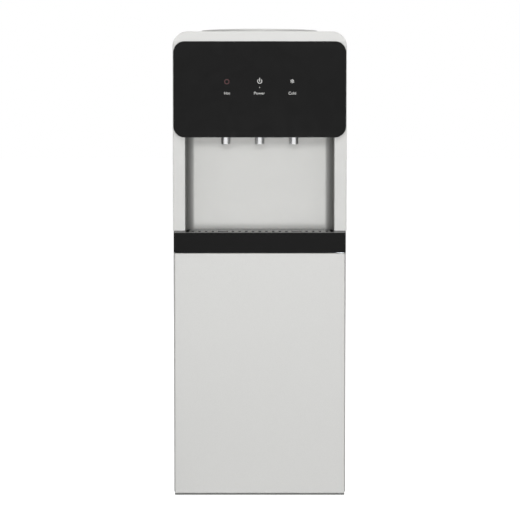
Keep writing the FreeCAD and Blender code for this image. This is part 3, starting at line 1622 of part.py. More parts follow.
def make_drain():
    """Hot tank drain through the rear panel, its pipe and its push-on cap."""
    outlet = make_body("drain_outlet", "hot_x", "0", "drain_height")
    flange_back = f"({REAR} + drain_flange_wall)"
    for y, radius, length in (
        (f"{REAR} + drain_reach", "drain_radius", "drain_reach + sheet_wall + drain_nut"),
        (flange_back, "drain_flange", "drain_flange_wall"),
        (REAR_INNER, "drain_flange", "drain_nut"),
    ):
        disc = front_sketch(outlet, y)
        draw_circle(disc, "0", "0", radius)
        pad(outlet, disc, length)
    cap = make_body("drain_cap", "hot_x", "0", "drain_height")
    shell = front_sketch(cap, f"{REAR} + drain_reach + drain_cap_end")
    draw_circle(shell, "0", "0", "drain_cap_radius")
    pad(cap, shell, "drain_reach + drain_cap_end - drain_flange_wall - drain_cap_gap")
    bore = front_sketch(cap, f"{REAR} + drain_reach + drain_cap_gap")
    draw_circle(bore, "0", "0", "drain_radius + drain_cap_gap")
    pocket(cap, bore, "drain_reach", along=True)


def make_switches():
    """Switch plate on the rear panel with two rockers, tilted to one side."""
    plate = make_body("switch_plate", "switch_x", "0", "switch_z")
    face = front_sketch(plate, f"{REAR} + switch_face")
    draw_box(face, "-switch_plate_x / 2", "switch_plate_x / 2",
             "-switch_plate_z / 2", "switch_plate_z / 2", "bend_round")
    pad(plate, face, "switch_face")
    rear_body = front_sketch(plate, REAR)
    draw_box(rear_body, "-switch_body_x / 2", "switch_body_x / 2",
             "-switch_body_z / 2", "switch_body_z / 2")
    pad(plate, rear_body, "switch_body_depth")
    wells = front_sketch(plate, f"{REAR} + switch_face")
    half_x = "(rocker_width / 2 + rocker_side_gap)"
    half_z = "(rocker_half + rocker_end_gap)"
    for sign in ("-", ""):
        middle = f"({sign}switch_pitch / 2)"
        draw_box(wells, f"{middle} - {half_x}", f"{middle} + {half_x}", f"-{half_z}", half_z)
    pocket(plate, wells, "rocker_well", along=True)
    for label, sign in (("rocker_hot", "-"), ("rocker_cold", "")):
        rocker = make_body(label, f"switch_x + ({sign}switch_pitch / 2)",
                           SWITCH_PIVOT_Y, "switch_z")
        turn = FreeCAD.Rotation(FreeCAD.Vector(1, 0, 0), -value("rocker_tilt"))
        rocker.Placement = FreeCAD.Placement(rocker.Placement.Base, turn)
        profile = side_sketch(rocker, "-rocker_width / 2")
        draw_outline(profile, [
            ("rocker_reach", "-rocker_half"),
            ("rocker_reach - rocker_dish", "0"),
            ("rocker_reach", "rocker_half"),
            ("rocker_reach - rocker_edge", "rocker_half - rocker_taper"),
            ("0", "rocker_hub - rocker_taper"),
            ("0", "rocker_taper - rocker_hub"),
            ("rocker_reach - rocker_edge", "rocker_taper - rocker_half"),
        ])
        pad(rocker, profile, "rocker_width")
        hub = side_sketch(rocker, "-rocker_width / 2")
        draw_circle(hub, "0", "0", "rocker_hub")
        pad(rocker, hub, "rocker_width")


def make_inlet():
    """Three-pin mains inlet low on the rear panel."""
    inlet = make_body("power_inlet", "inlet_x", "0", "inlet_z")
    face = front_sketch(inlet, f"{REAR} + inlet_face")
    draw_box(face, "-inlet_half_x", "inlet_half_x", "-inlet_half_z", "inlet_half_z", "bend_round")
    pad(inlet, face, "inlet_face")
    shell = front_sketch(inlet, REAR)
    draw_box(shell, "-inlet_body_x", "inlet_body_x", "-inlet_body_z", "inlet_body_z")
    pad(inlet, shell, "inlet_body_depth")
    socket = front_sketch(inlet, f"{REAR} + inlet_face")
    draw_outline(socket, [
        ("-inlet_socket_x", "inlet_socket_z"),
        ("inlet_socket_x", "inlet_socket_z"),
        ("inlet_socket_x", "-inlet_socket_z / 2"),
        ("inlet_socket_x / 2", "-inlet_socket_z"),
        ("-inlet_socket_x / 2", "-inlet_socket_z"),
        ("-inlet_socket_x", "-inlet_socket_z / 2"),
    ])
    pocket(inlet, socket, "inlet_socket_depth", along=True)
    bottom = f"({REAR} + inlet_face - inlet_socket_depth)"
    pins = front_sketch(inlet, f"{bottom} + inlet_pin_length")
    for x, z in (("-inlet_pin_spread", "-inlet_pin_drop"), ("0", "inlet_pin_rise"),
                 ("inlet_pin_spread", "-inlet_pin_drop")):
        draw_box(pins, f"{x} - inlet_pin_x", f"{x} + inlet_pin_x",
                 f"{z} - inlet_pin_z", f"{z} + inlet_pin_z")
    pad(inlet, pins, "inlet_pin_length")


def make_power_board():
    """Control board on spacers at the right-hand side panel."""
    board = make_body("power_board", "0", "power_y", "power_z")
    sheet = side_sketch(board, POWER_X)
    draw_box(sheet, "-power_half_y", "power_half_y", "-power_half_z", "power_half_z")
    pad(board, sheet, "board_wall")
    spacers = side_sketch(board, f"{POWER_X} + board_wall")
    for y in ("-power_half_y + board_margin", "power_half_y - board_margin"):
        for z in ("-power_half_z + board_margin", "power_half_z - board_margin"):
            draw_circle(spacers, y, z, "spacer_radius")
    pad(board, spacers, f"{INSIDE} - {POWER_X} - board_wall")
    for part in ("transformer", "hot_relay", "cold_relay", "capacitor", "terminals"):
        block = side_sketch(board, f"{POWER_X} - {part}_height")
        draw_box(block, f"{part}_y - {part}_half_y", f"{part}_y + {part}_half_y",
                 f"{part}_z - {part}_half_z", f"{part}_z + {part}_half_z")
        pad(board, block, f"{part}_height")


# ---- door ----

def make_door_panel():
    """Plain outer door shell, open behind, with holes for the hinge pins."""
    door = make_body("door_panel")
    face = front_sketch(door, DOOR_BACK)
    draw_box(face, f"-{DOOR_SIDE}", DOOR_SIDE, "door_bottom", "door_top", "door_round")
    pad(door, face, "door_edge")
    round_edges(door, "door_front_round", lies_at(y=(FRONT,)))
    hollow = front_sketch(door, DOOR_BACK)
    draw_box(hollow, f"door_wall - {DOOR_SIDE}", f"{DOOR_SIDE} - door_wall",
             "door_bottom + door_wall", "door_top - door_wall", "door_round - door_wall")
    pocket(door, hollow, "door_edge - door_wall", along=True)
    pins = plan_sketch(door, "door_bottom")
    draw_circle(pins, HINGE_X, HINGE_Y, "hinge_hole")
    pocket(door, pins)


def make_door_liner():
    """Inner door with sunk fields between ribs, and a bearing block at each hinge pin."""
    liner = make_body("door_liner")
    side = f"({DOOR_SIDE} - door_wall - liner_inset)"
    low = "(door_bottom + door_wall + liner_inset)"
    high = "(door_top - door_wall - liner_inset)"
    plate = front_sketch(liner, LINER_BACK)
    draw_box(plate, f"-{side}", side, low, high, "door_round")
    pad(liner, plate, "liner_wall")
    fields = front_sketch(liner, LINER_BACK)
    half = "(boss_half + liner_rib)"
    reach = f"({HINGE_X} - {half})"
    middle = f"(({low} + {high}) / 2)"
    for left, right in ((f"-{reach}", "-liner_rib / 2"), ("liner_rib / 2", reach)):
        draw_box(fields, left, right, f"{low} + liner_rib", f"{middle} - liner_rib / 2", "pan_round")
        draw_box(fields, left, right, f"{middle} + liner_rib / 2",
                 f"{high} - 2 * liner_rib - magnet_height", "pan_round")
    pocket(liner, fields, "liner_field", along=True)
    for foot in (low, f"({high} - boss_height)"):
        boss = plan_sketch(liner, foot)
        draw_box(boss, f"{HINGE_X} - boss_half", f"{HINGE_X} + boss_half",
                 f"{HINGE_Y} - boss_front", f"{LINER_BACK} - liner_wall / 2")
        pad(liner, boss, "boss_height")
    bore = plan_sketch(liner, low)
    draw_circle(bore, HINGE_X, HINGE_Y, "hinge_pin + hinge_pin_gap")
    pocket(liner, bore)


def make_hinges():
    """Hinge leaves with pins that stand in the door's bearing blocks."""
    bottom = make_body("hinge_bracket_bottom")
    leaf = plan_sketch(bottom, "foot_height - hinge_leaf")
    draw_box(leaf, f"{HINGE_X} - hinge_leaf_half", f"{HINGE_X} + hinge_leaf_half",
             f"{HINGE_Y} - hinge_leaf_front", f"{HINGE_Y} + hinge_tail", "bend_round")
    pad(bottom, leaf, "hinge_leaf")
    pin = plan_sketch(bottom, "foot_height")
    draw_circle(pin, HINGE_X, HINGE_Y, "hinge_pin")
    pad(bottom, pin, "hinge_pin_length")

    top = make_body("hinge_bracket_top")
    profile = side_sketch(top, f"{HINGE_X} - hinge_leaf_half")
    low = "(tray_bottom - hinge_leaf_drop)"
    draw_outline(profile, [
        (f"{HINGE_Y} - hinge_leaf_front", low),
        (SKIN, low),
        (SKIN, f"{low} + hinge_upright"),
        (f"{SKIN} - hinge_leaf", f"{low} + hinge_upright"),
        (f"{SKIN} - hinge_leaf", f"{low} + hinge_leaf"),
        (f"{HINGE_Y} - hinge_leaf_front", f"{low} + hinge_leaf"),
    ])
    pad(top, profile, "2 * hinge_leaf_half - edge_round")
    stem = plan_sketch(top, f"{low} - hinge_pin_length")
    draw_circle(stem, HINGE_X, HINGE_Y, "hinge_pin")
    pad(top, stem, "hinge_pin_length")


def make_door_furniture():
    """Magnet that holds the door to the shelf's rim, and two stops at the free edge."""
    magnet = make_body("door_magnet")
    sketch = front_sketch(magnet, f"{PAN_FRONT} - seam")
    top = "(door_top - 2 * door_wall)"
    draw_box(sketch, f"{MAGNET_X} - magnet_width / 2", f"{MAGNET_X} + magnet_width / 2",
             f"{top} - magnet_height", top)
    pad(magnet, sketch, f"{PAN_FRONT} - seam - {LINER_BACK}")
    bumpers = make_body("door_bumpers")
    stops = front_sketch(bumpers, f"{SKIN} - seam")
    edge = f"({DOOR_SIDE} - door_wall - liner_inset)"
    for low in ("bumper_low", "bumper_high"):
        draw_box(stops, f"-{edge}", f"bumper_width - {edge}", low, f"{low} + bumper_height")
    pad(bumpers, stops, f"{SKIN} - seam - {LINER_BACK}")


def write_parts():
    """Check every object and node, and write one file per node."""
    DOC.recompute()
    for item in DOC.Objects:
        if {"Invalid", "Error"} & set(item.State):
            raise RuntimeError(f"{item.Name} failed: {item.State}")
    os.makedirs("parts", exist_ok=True)
    for node in NODES:
        if node.Shape.isNull() or not node.Shape.isValid() or not node.Shape.Solids:
            raise RuntimeError(f"{node.Label} has no valid shape")
        node.Shape.exportStep(f"parts/{node.Label}.step")
    print(f"{len(NODES)} nodes, {sum(len(n.Shape.Solids) for n in NODES)} solids")


make_feet()
make_pan("base_pan", "foot_height", rim_up=True)
make_shelf()
make_side_panels()
make_rear_panel()
make_rear_screws()
make_bay_wall()
make_bottle_guide()
make_front_housing()
make_control_panel()
make_display_board()
make_alcove_liner()
make_top_cover()
make_top_cap()
make_drip_tray()
make_drip_grille()
make_taps()
make_tank_deck()
make_cold_jacket()
make_cold_tank()
make_evaporator()
make_tank_lid()
make_hot_stand()
make_hot_tank()
make_hot_jacket()
make_compressor()
make_grommets()
make_condenser()
make_drier()
make_lines()
make_pump()
make_probe()
make_clips()
make_hoses()
make_drain()
make_switches()
make_inlet()
make_power_board()
make_door_panel()
make_door_liner()
make_hinges()
make_door_furniture()
write_parts()
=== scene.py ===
import math

import bmesh
import bpy
from mathutils import Matrix, Vector


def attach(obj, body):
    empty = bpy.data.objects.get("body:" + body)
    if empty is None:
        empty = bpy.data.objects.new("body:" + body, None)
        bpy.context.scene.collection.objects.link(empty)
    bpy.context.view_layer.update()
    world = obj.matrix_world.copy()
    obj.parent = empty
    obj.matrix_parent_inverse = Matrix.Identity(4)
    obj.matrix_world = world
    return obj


# Free-standing water cooler with a bottle bay behind its door.
# Metres, +X to the right seen from the front, +Y to the back, +Z up.

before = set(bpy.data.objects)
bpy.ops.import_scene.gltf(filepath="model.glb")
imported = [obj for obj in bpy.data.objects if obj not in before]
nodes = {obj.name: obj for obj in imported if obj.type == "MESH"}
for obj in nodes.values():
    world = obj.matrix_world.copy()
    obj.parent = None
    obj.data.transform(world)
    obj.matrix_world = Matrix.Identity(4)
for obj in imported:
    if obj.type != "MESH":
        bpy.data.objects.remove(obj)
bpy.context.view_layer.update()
mm = 0.001
print("frame loaded,", len(nodes), "nodes")


def fromHex(code):
    channels = [int(code[i:i + 2], 16) / 255 for i in (1, 3, 5)]
    linear = [c / 12.92 if c <= 0.04045 else ((c + 0.055) / 1.055) ** 2.4 for c in channels]
    return (*linear, 1)


def addNode(tree, kind, settings=None, links=None):
    node = tree.nodes.new(kind)
    for key, value in (settings or {}).items():
        if isinstance(key, int) or key in node.inputs:
            node.inputs[key].default_value = value
        else:
            setattr(node, key, value)
    for key, source in (links or {}).items():
        tree.links.new(source, node.inputs[key])
    return node


def startFinish(name, settings):
    material = bpy.data.materials.new(name)
    material.use_nodes = True
    tree = material.node_tree
    shader = tree.nodes["Principled BSDF"]
    for key, value in settings.items():
        shader.inputs[key].default_value = value
    place = addNode(tree, "ShaderNodeTexCoord").outputs["Object"]
    return material, tree, shader, place


def perMetre(featureMm):
    return 1000 / featureMm  # a pattern's scale on coordinates in metres


def twoTones(tree, shader, factor, dark, light):
    ramp = addNode(tree, "ShaderNodeMix",
                   {"data_type": "RGBA", 6: fromHex(dark), 7: fromHex(light)}, {0: factor})
    tree.links.new(ramp.outputs[2], shader.inputs["Base Color"])


def roughBetween(tree, shader, factor, low, high):
    span = addNode(tree, "ShaderNodeMapRange", {"To Min": low, "To Max": high}, {"Value": factor})
    tree.links.new(span.outputs["Result"], shader.inputs["Roughness"])


def reliefFrom(tree, shader, height, depthMm, strength=1.0):
    bump = addNode(tree, "ShaderNodeBump", {"Strength": strength, "Distance": depthMm * mm},
                   {"Height": height})
    tree.links.new(bump.outputs["Normal"], shader.inputs["Normal"])


# Powder-coated sheet steel: satin silver grey, with the slight ripple of a baked powder
# and fine metal flakes. The real flakes are 0.05 mm; here they are coarser, so that they show.
powderCoat = {"shade": "#c9c9c7", "flake": "#cfcfcd", "rippleMm": 2.2, "flakeMm": 0.9,
              "rippleDepthMm": 0.02, "roughness": (0.46, 0.56)}


def powderCoatedSteel():
    material, tree, shader, place = startFinish(
        "powderCoatedSteel", {"Metallic": 0.1, "Specular IOR Level": 0.35})
    flakes = addNode(tree, "ShaderNodeTexVoronoi", {"Scale": perMetre(powderCoat["flakeMm"])},
                     {"Vector": place})
    ripple = addNode(tree, "ShaderNodeTexNoise",
                     {"Scale": perMetre(powderCoat["rippleMm"]), "Detail": 2}, {"Vector": place})
    twoTones(tree, shader, flakes.outputs["Color"], powderCoat["shade"], powderCoat["flake"])
    roughBetween(tree, shader, ripple.outputs[0], *powderCoat["roughness"])
    reliefFrom(tree, shader, ripple.outputs[0], powderCoat["rippleDepthMm"])
    return material


# Injection-moulded ABS in metallic silver, with the faint mottle that the flakes leave where
# the melt flowed. The liner's tool is smoother and its melt has more flakes, so the rounded
# corners catch the lamps and the side walls stay dark. Tones, metallic and roughness of each:
silverAbs = {"flowMm": 90, "grainMm": 1.1, "grainDepthMm": 0.012,
             "liner": ("#939391", "#999997", 0.35, (0.34, 0.42)),
             "housing": ("#cacac8", "#d1d1cf", 0.1, (0.52, 0.62))}


def mouldedSilverAbs(name, shade, flowShade, metallic, roughness):
    material, tree, shader, place = startFinish(
        name, {"Metallic": metallic, "Specular IOR Level": 0.4})
    flow = addNode(tree, "ShaderNodeTexNoise",
                   {"Scale": perMetre(silverAbs["flowMm"]), "Detail": 3, "Distortion": 0.6},
                   {"Vector": place})
    grain = addNode(tree, "ShaderNodeTexNoise",
                    {"Scale": perMetre(silverAbs["grainMm"]), "Detail": 2}, {"Vector": place})
    twoTones(tree, shader, flow.outputs[0], shade, flowShade)
    roughBetween(tree, shader, grain.outputs[0], *roughness)
    reliefFrom(tree, shader, grain.outputs[0], silverAbs["grainDepthMm"])
    return material


# Black acrylic fascia, moulded against a polished tool: deep black, and only faint wiping
# marks break its gloss.
blackAcrylic = {"shade": "#121212", "wiped": "#161616", "wipeMm": 60, "roughness": (0.04, 0.09)}


def polishedBlackAcrylic():
    material, tree, shader, place = startFinish(
        "polishedBlackAcrylic", {"Specular IOR Level": 0.12})
    wipes = addNode(tree, "ShaderNodeTexNoise",
                    {"Scale": perMetre(blackAcrylic["wipeMm"]), "Detail": 5, "Distortion": 1.5},
                    {"Vector": place})
    twoTones(tree, shader, wipes.outputs[0], blackAcrylic["shade"], blackAcrylic["wiped"])
    roughBetween(tree, shader, wipes.outputs[0], *blackAcrylic["roughness"])
    return material


# Black ABS of the tray, spark-eroded tool: a fine even grain that dulls the highlights.
blackAbs = {"shade": "#0b0b0b", "worn": "#101010", "grainMm": 0.8, "grainDepthMm": 0.03,
            "roughness": (0.42, 0.56)}


def grainedBlackAbs():
    material, tree, shader, place = startFinish("grainedBlackAbs", {"Specular IOR Level": 0.06})
    grain = addNode(tree, "ShaderNodeTexNoise",
                    {"Scale": perMetre(blackAbs["grainMm"]), "Detail": 3}, {"Vector": place})
    twoTones(tree, shader, grain.outputs[0], blackAbs["shade"], blackAbs["worn"])
    roughBetween(tree, shader, grain.outputs[0], *blackAbs["roughness"])
    reliefFrom(tree, shader, grain.outputs[0], blackAbs["grainDepthMm"])
    return material


# Brushed steel sheet of the grille, lines along its length.
grilleSheet = {"dark": "#8c8c8b", "light": "#9d9d9c", "lineMm": 0.7, "stretch": 60,
               "lineDepthMm": 0.01, "roughness": (0.32, 0.48)}


def brushedGrilleSheet():
    material, tree, shader, place = startFinish("brushedGrilleSheet", {"Metallic": 0.85})
    lines = perMetre(grilleSheet["lineMm"])
    stretched = addNode(tree, "ShaderNodeMapping",
                        {"Scale": (lines / grilleSheet["stretch"], lines, lines)},
                        {"Vector": place})
    brushing = addNode(tree, "ShaderNodeTexNoise", {"Scale": 1, "Detail": 3},
                       {"Vector": stretched.outputs[0]})
    twoTones(tree, shader, brushing.outputs[0], grilleSheet["dark"], grilleSheet["light"])
    roughBetween(tree, shader, brushing.outputs[0], *grilleSheet["roughness"])
    reliefFrom(tree, shader, brushing.outputs[0], grilleSheet["lineDepthMm"])
    return material


# Chrome plate on the spouts: near mirror, a very little haze from handling.
chromePlate = {"shade": "#efeff0", "haze": "#e2e3e4", "hazeMm": 14, "roughness": (0.03, 0.08)}


def platedChrome():
    material, tree, shader, place = startFinish("platedChrome", {"Metallic": 1.0})
    haze = addNode(tree, "ShaderNodeTexNoise",
                   {"Scale": perMetre(chromePlate["hazeMm"]), "Detail": 4}, {"Vector": place})
    twoTones(tree, shader, haze.outputs[0], chromePlate["haze"], chromePlate["shade"])
    roughBetween(tree, shader, haze.outputs[0], *chromePlate["roughness"])
    return material


# Hot-dip galvanised sheet: zinc crystals of about 9 mm, each with its own grey and gloss.
galvanising = {"dark": "#9fa2a4", "light": "#b1b4b5", "spangleMm": 9, "roughness": (0.38, 0.54),
               "grainMm": 1.5, "grainDepthMm": 0.01}


def galvanisedSteel():
    material, tree, shader, place = startFinish("galvanisedSteel", {"Metallic": 0.8})
    spangle = addNode(tree, "ShaderNodeTexVoronoi", {"Scale": perMetre(galvanising["spangleMm"])},
                      {"Vector": place})
    tone = addNode(tree, "ShaderNodeSeparateColor", links={0: spangle.outputs["Color"]})
    grain = addNode(tree, "ShaderNodeTexNoise",
                    {"Scale": perMetre(galvanising["grainMm"]), "Detail": 2}, {"Vector": place})
    twoTones(tree, shader, tone.outputs[0], galvanising["dark"], galvanising["light"])
    roughBetween(tree, shader, tone.outputs[1], *galvanising["roughness"])
    reliefFrom(tree, shader, grain.outputs[0], galvanising["grainDepthMm"])
    return material


# Deep-drawn stainless steel: fine lines run round the axis where the tank was polished.
drawnSteel = {"dark": "#a9abac", "light": "#c4c5c6", "lineMm": 0.8, "stretch": 40,
              "roughness": (0.20, 0.34)}


def drawnStainlessSteel():
    material, tree, shader, place = startFinish("drawnStainlessSteel", {"Metallic": 1.0})
    lines = perMetre(drawnSteel["lineMm"])
    stretched = addNode(tree, "ShaderNodeMapping",
                        {"Scale": (lines / drawnSteel["stretch"],) * 2 + (lines,)},
                        {"Vector": place})
    polish = addNode(tree, "ShaderNodeTexNoise", {"Scale": 1, "Detail": 2},
                     {"Vector": stretched.outputs[0]})
    twoTones(tree, shader, polish.outputs[0], drawnSteel["dark"], drawnSteel["light"])
    roughBetween(tree, shader, polish.outputs[0], *drawnSteel["roughness"])
    return material


# Moulded polypropylene: waxy, a fine matt grain and a soft glow under the skin.
polypropylene = {"grainMm": 0.9, "grainDepthMm": 0.02, "roughness": (0.42, 0.55)}


def mouldedPolypropylene(name, shade, light):
    material, tree, shader, place = startFinish(
        name, {"Specular IOR Level": 0.4, "Subsurface Weight": 0.05,
               "Subsurface Scale": 1.5 * mm})
    grain = addNode(tree, "ShaderNodeTexNoise",
                    {"Scale": perMetre(polypropylene["grainMm"]), "Detail": 3}, {"Vector": place})
    twoTones(tree, shader, grain.outputs[0], shade, light)
    roughBetween(tree, shader, grain.outputs[0], *polypropylene["roughness"])
    reliefFrom(tree, shader, grain.outputs[0], polypropylene["grainDepthMm"])
    return material


# Expanded polystyrene, steam-moulded: beads of about 4 mm pressed flat against each other.
beads = {"seam": "#cfcfc9", "bead": "#ecece6", "beadMm": 4, "dentMm": 0.4}


def expandedPolystyrene():
    material, tree, shader, place = startFinish(
        "expandedPolystyrene", {"Roughness": 0.75, "Specular IOR Level": 0.3})
    cells = addNode(tree, "ShaderNodeTexVoronoi",
                    {"Scale": perMetre(beads["beadMm"]), "feature": "DISTANCE_TO_EDGE"},
                    {"Vector": place})
    edge = addNode(tree, "ShaderNodeMapRange", {"From Max": 0.12}, {"Value": cells.outputs[0]})
    twoTones(tree, shader, edge.outputs[0], beads["seam"], beads["bead"])
    reliefFrom(tree, shader, edge.outputs[0], beads["dentMm"])
    return material


# Circuit board: green solder mask over copper tracks 2.5 mm apart.
board = {"mask": "#12502c", "track": "#1e6a3c", "trackMm": 2.5}


def solderMask():
    material, tree, shader, place = startFinish("solderMask", {"Roughness": 0.28})
    tracks = addNode(tree, "ShaderNodeTexVoronoi",
                     {"Scale": perMetre(board["trackMm"]), "distance": "CHEBYCHEV"},
                     {"Vector": place})
    step = addNode(tree, "ShaderNodeMapRange", {"From Min": 0.4, "From Max": 0.46},
                   {"Value": tracks.outputs[0]})
    twoTones(tree, shader, step.outputs[0], board["mask"], board["track"])
    return material


# Black enamel, dipped and baked: glossy with a slight sag of the coat.
enamel = {"shade": "#121212", "thin": "#1d1d1c", "sagMm": 12, "sagDepthMm": 0.05,
          "roughness": (0.28, 0.42)}


def bakedBlackEnamel():
    material, tree, shader, place = startFinish(
        "bakedBlackEnamel", {"Coat Weight": 0.3, "Coat Roughness": 0.15})
    sag = addNode(tree, "ShaderNodeTexNoise", {"Scale": perMetre(enamel["sagMm"]), "Detail": 2},
                  {"Vector": place})
    twoTones(tree, shader, sag.outputs[0], enamel["shade"], enamel["thin"])
    roughBetween(tree, shader, sag.outputs[0], *enamel["roughness"])
    reliefFrom(tree, shader, sag.outputs[0], enamel["sagDepthMm"])
    return material


# Drawn copper tube: bright, with browner patches where it was brazed and handled.
copper = {"bright": "#c7815f", "dull": "#8f5238", "patchMm": 25, "roughness": (0.24, 0.5)}


def drawnCopper():
    material, tree, shader, place = startFinish("drawnCopper", {"Metallic": 1.0})
    patches = addNode(tree, "ShaderNodeTexNoise",
                      {"Scale": perMetre(copper["patchMm"]), "Detail": 5}, {"Vector": place})
    twoTones(tree, shader, patches.outputs[0], copper["bright"], copper["dull"])
    roughBetween(tree, shader, patches.outputs[0], *copper["roughness"])
    return material


# Roll-bonded aluminium: pale, with the long marks of the rolls.
rolled = {"dark": "#a7a9ab", "light": "#c3c5c6", "markMm": 1.2, "stretch": 30,
          "roughness": (0.3, 0.45)}


def rolledAluminium():
    material, tree, shader, place = startFinish("rolledAluminium", {"Metallic": 1.0})
    marks = perMetre(rolled["markMm"])
    stretched = addNode(tree, "ShaderNodeMapping",
                        {"Scale": (marks, marks, marks / rolled["stretch"])}, {"Vector": place})
    rolling = addNode(tree, "ShaderNodeTexNoise", {"Scale": 1, "Detail": 3},
                      {"Vector": stretched.outputs[0]})
    twoTones(tree, shader, rolling.outputs[0], rolled["dark"], rolled["light"])
    roughBetween(tree, shader, rolling.outputs[0], *rolled["roughness"])
    return material


# Extruded silicone hose: milky and soft, light gets through its wall.
silicone = {"shade": "#c9d0d0", "milk": "#dde2e1", "cloudMm": 18}


def extrudedSilicone():
    material, tree, shader, place = startFinish(
        "extrudedSilicone", {"Roughness": 0.36, "Transmission Weight": 0.35, "IOR": 1.41,
                             "Subsurface Weight": 0.3, "Subsurface Scale": 3 * mm})
    cloud = addNode(tree, "ShaderNodeTexNoise", {"Scale": perMetre(silicone["cloudMm"])},
                    {"Vector": place})
    twoTones(tree, shader, cloud.outputs[0], silicone["shade"], silicone["milk"])
    return material


# Compression-moulded black rubber: dull and dusty in its hollows.
rubber = {"shade": "#161616", "dust": "#2b2b2a", "dustMm": 7, "grainMm": 0.7,
          "grainDepthMm": 0.05}


def mouldedRubber():
    material, tree, shader, place = startFinish(
        "mouldedRubber", {"Roughness": 0.72, "Specular IOR Level": 0.3})
    dust = addNode(tree, "ShaderNodeTexNoise", {"Scale": perMetre(rubber["dustMm"]), "Detail": 6},
                   {"Vector": place})
    grain = addNode(tree, "ShaderNodeTexNoise", {"Scale": perMetre(rubber["grainMm"])},
                    {"Vector": place})
    twoTones(tree, shader, dust.outputs[0], rubber["shade"], rubber["dust"])
    reliefFrom(tree, shader, grain.outputs[0], rubber["grainDepthMm"])
    return material


# Zinc-plated steel of screws and hinges: bluish bright, a little streaky.
zinc = {"dark": "#8d9298", "light": "#b6bbbf", "streakMm": 3, "roughness": (0.24, 0.4)}


def zincPlatedSteel():
    material, tree, shader, place = startFinish("zincPlatedSteel", {"Metallic": 1.0})
    streaks = addNode(tree, "ShaderNodeTexNoise",
                      {"Scale": perMetre(zinc["streakMm"]), "Detail": 4}, {"Vector": place})
    twoTones(tree, shader, streaks.outputs[0], zinc["dark"], zinc["light"])
    roughBetween(tree, shader, streaks.outputs[0], *zinc["roughness"])
    return material


# Screen-printed ink: flat and matt, with a speckle left by the screen. The real speckle is
# finer than 0.3 mm; here it is coarser, so that it shows.
ink = {"speckMm": 1.2}


def printedInk(name, shade, worn):
    material, tree, shader, place = startFinish(
        name, {"Roughness": 0.4, "Specular IOR Level": 0.2})
    speck = addNode(tree, "ShaderNodeTexNoise", {"Scale": perMetre(ink["speckMm"])},
                    {"Vector": place})
    twoTones(tree, shader, speck.outputs[0], shade, worn)
    return material


steelPaint = powderCoatedSteel()
linerPlastic = mouldedSilverAbs("smoothSilverAbs", *silverAbs["liner"])
housingPlastic = mouldedSilverAbs("satinSilverAbs", *silverAbs["housing"])
fasciaBlack = polishedBlackAcrylic()
trayBlack = grainedBlackAbs()
whitePlastic = mouldedPolypropylene("whitePolypropylene", "#dcdcd8", "#e6e6e2")
greyPlastic = mouldedPolypropylene("greyPolypropylene", "#777a7c", "#82868a")
blackPlastic = mouldedPolypropylene("blackPolypropylene", "#18191a", "#202122")
hotRed = mouldedPolypropylene("redPolypropylene", "#a3201c", "#b32a24")
coldGreen = mouldedPolypropylene("greenPolypropylene", "#1f7a45", "#2a8a50")
galvanised = galvanisedSteel()
stainless = drawnStainlessSteel()
copperTube = drawnCopper()
blackEnamel = bakedBlackEnamel()
siliconeHose = extrudedSilicone()
rubberBlack = mouldedRubber()
zincPlate = zincPlatedSteel()

dressing = {
    steelPaint: ["side_panel_left", "side_panel_right", "door_panel"],
    housingPlastic: ["front_housing", "top_cover", "top_cap"],
    linerPlastic: ["alcove_liner"],
    fasciaBlack: ["control_panel"],
    trayBlack: ["drip_tray"],
    brushedGrilleSheet(): ["drip_grille"],
    platedChrome(): ["spout_hot", "spout_room", "spout_cold"],
    whitePlastic: ["door_liner", "tap_body_hot", "tap_body_room", "tap_body_cold",
                   "cold_tank_lid", "bottle_probe", "hose_clips", "drain_outlet", "drain_cap"],
    greyPlastic: ["bottle_guide"],
    blackPlastic: ["water_pump", "condenser_standoffs", "switch_plate", "power_inlet",
                   "door_magnet"],
    hotRed: ["rocker_hot"],
    coldGreen: ["rocker_cold"],
    galvanised: ["base_pan", "machine_shelf", "bay_back_wall", "rear_panel", "tank_deck",
                 "hot_tank_stand"],
    stainless: ["cold_tank", "hot_tank", "tap_pivot_pins"],
    expandedPolystyrene(): ["cold_tank_jacket", "hot_tank_jacket"],
    rolledAluminium(): ["evaporator_sleeve"],
    blackEnamel: ["compressor", "condenser_tube", "condenser_wires"],
    copperTube: ["refrigerant_lines", "filter_drier"],
    siliconeHose: ["suction_hose", "tank_hoses", "tap_hoses"],
    rubberBlack: ["rubber_feet", "compressor_grommets", "door_bumpers"],
    solderMask(): ["display_board", "power_board"],
    zincPlate: ["rear_screws", "hinge_bracket_bottom", "hinge_bracket_top"],
}
for finish, names in dressing.items():
    for name in names:
        nodes[name].data.materials.clear()
        nodes[name].data.materials.append(finish)
bare = sorted(set(nodes) - {name for names in dressing.values() for name in names})
print("materials done, nodes without one:", bare)


def placePiece(name, data, finish, body):
    data.materials.clear()
    data.materials.append(finish)
    piece = bpy.data.objects.new(name, data)
    bpy.context.collection.objects.link(piece)
    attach(piece, body)


def startPiece(name, finish, body):
    # an empty mesh, and what turns it into a piece that moves with a body
    mesh = bmesh.new()

    def finishPiece():
        bmesh.ops.recalc_face_normals(mesh, faces=mesh.faces)
        data = bpy.data.meshes.new(name)
        mesh.to_mesh(data)
        mesh.free()
        placePiece(name, data, finish, body)

    return mesh, finishPiece


def raiseOutline(mesh, points, push):
    # one flat outline becomes a thin closed plate, pushed along a vector
    near = [mesh.verts.new(point) for point in points]
    far = [mesh.verts.new(Vector(point) + push) for point in points]
    mesh.faces.new(near)
    mesh.faces.new(far)
    for i in range(len(points)):
        j = (i + 1) % len(points)
        mesh.faces.new((near[i], near[j], far[j], far[i]))


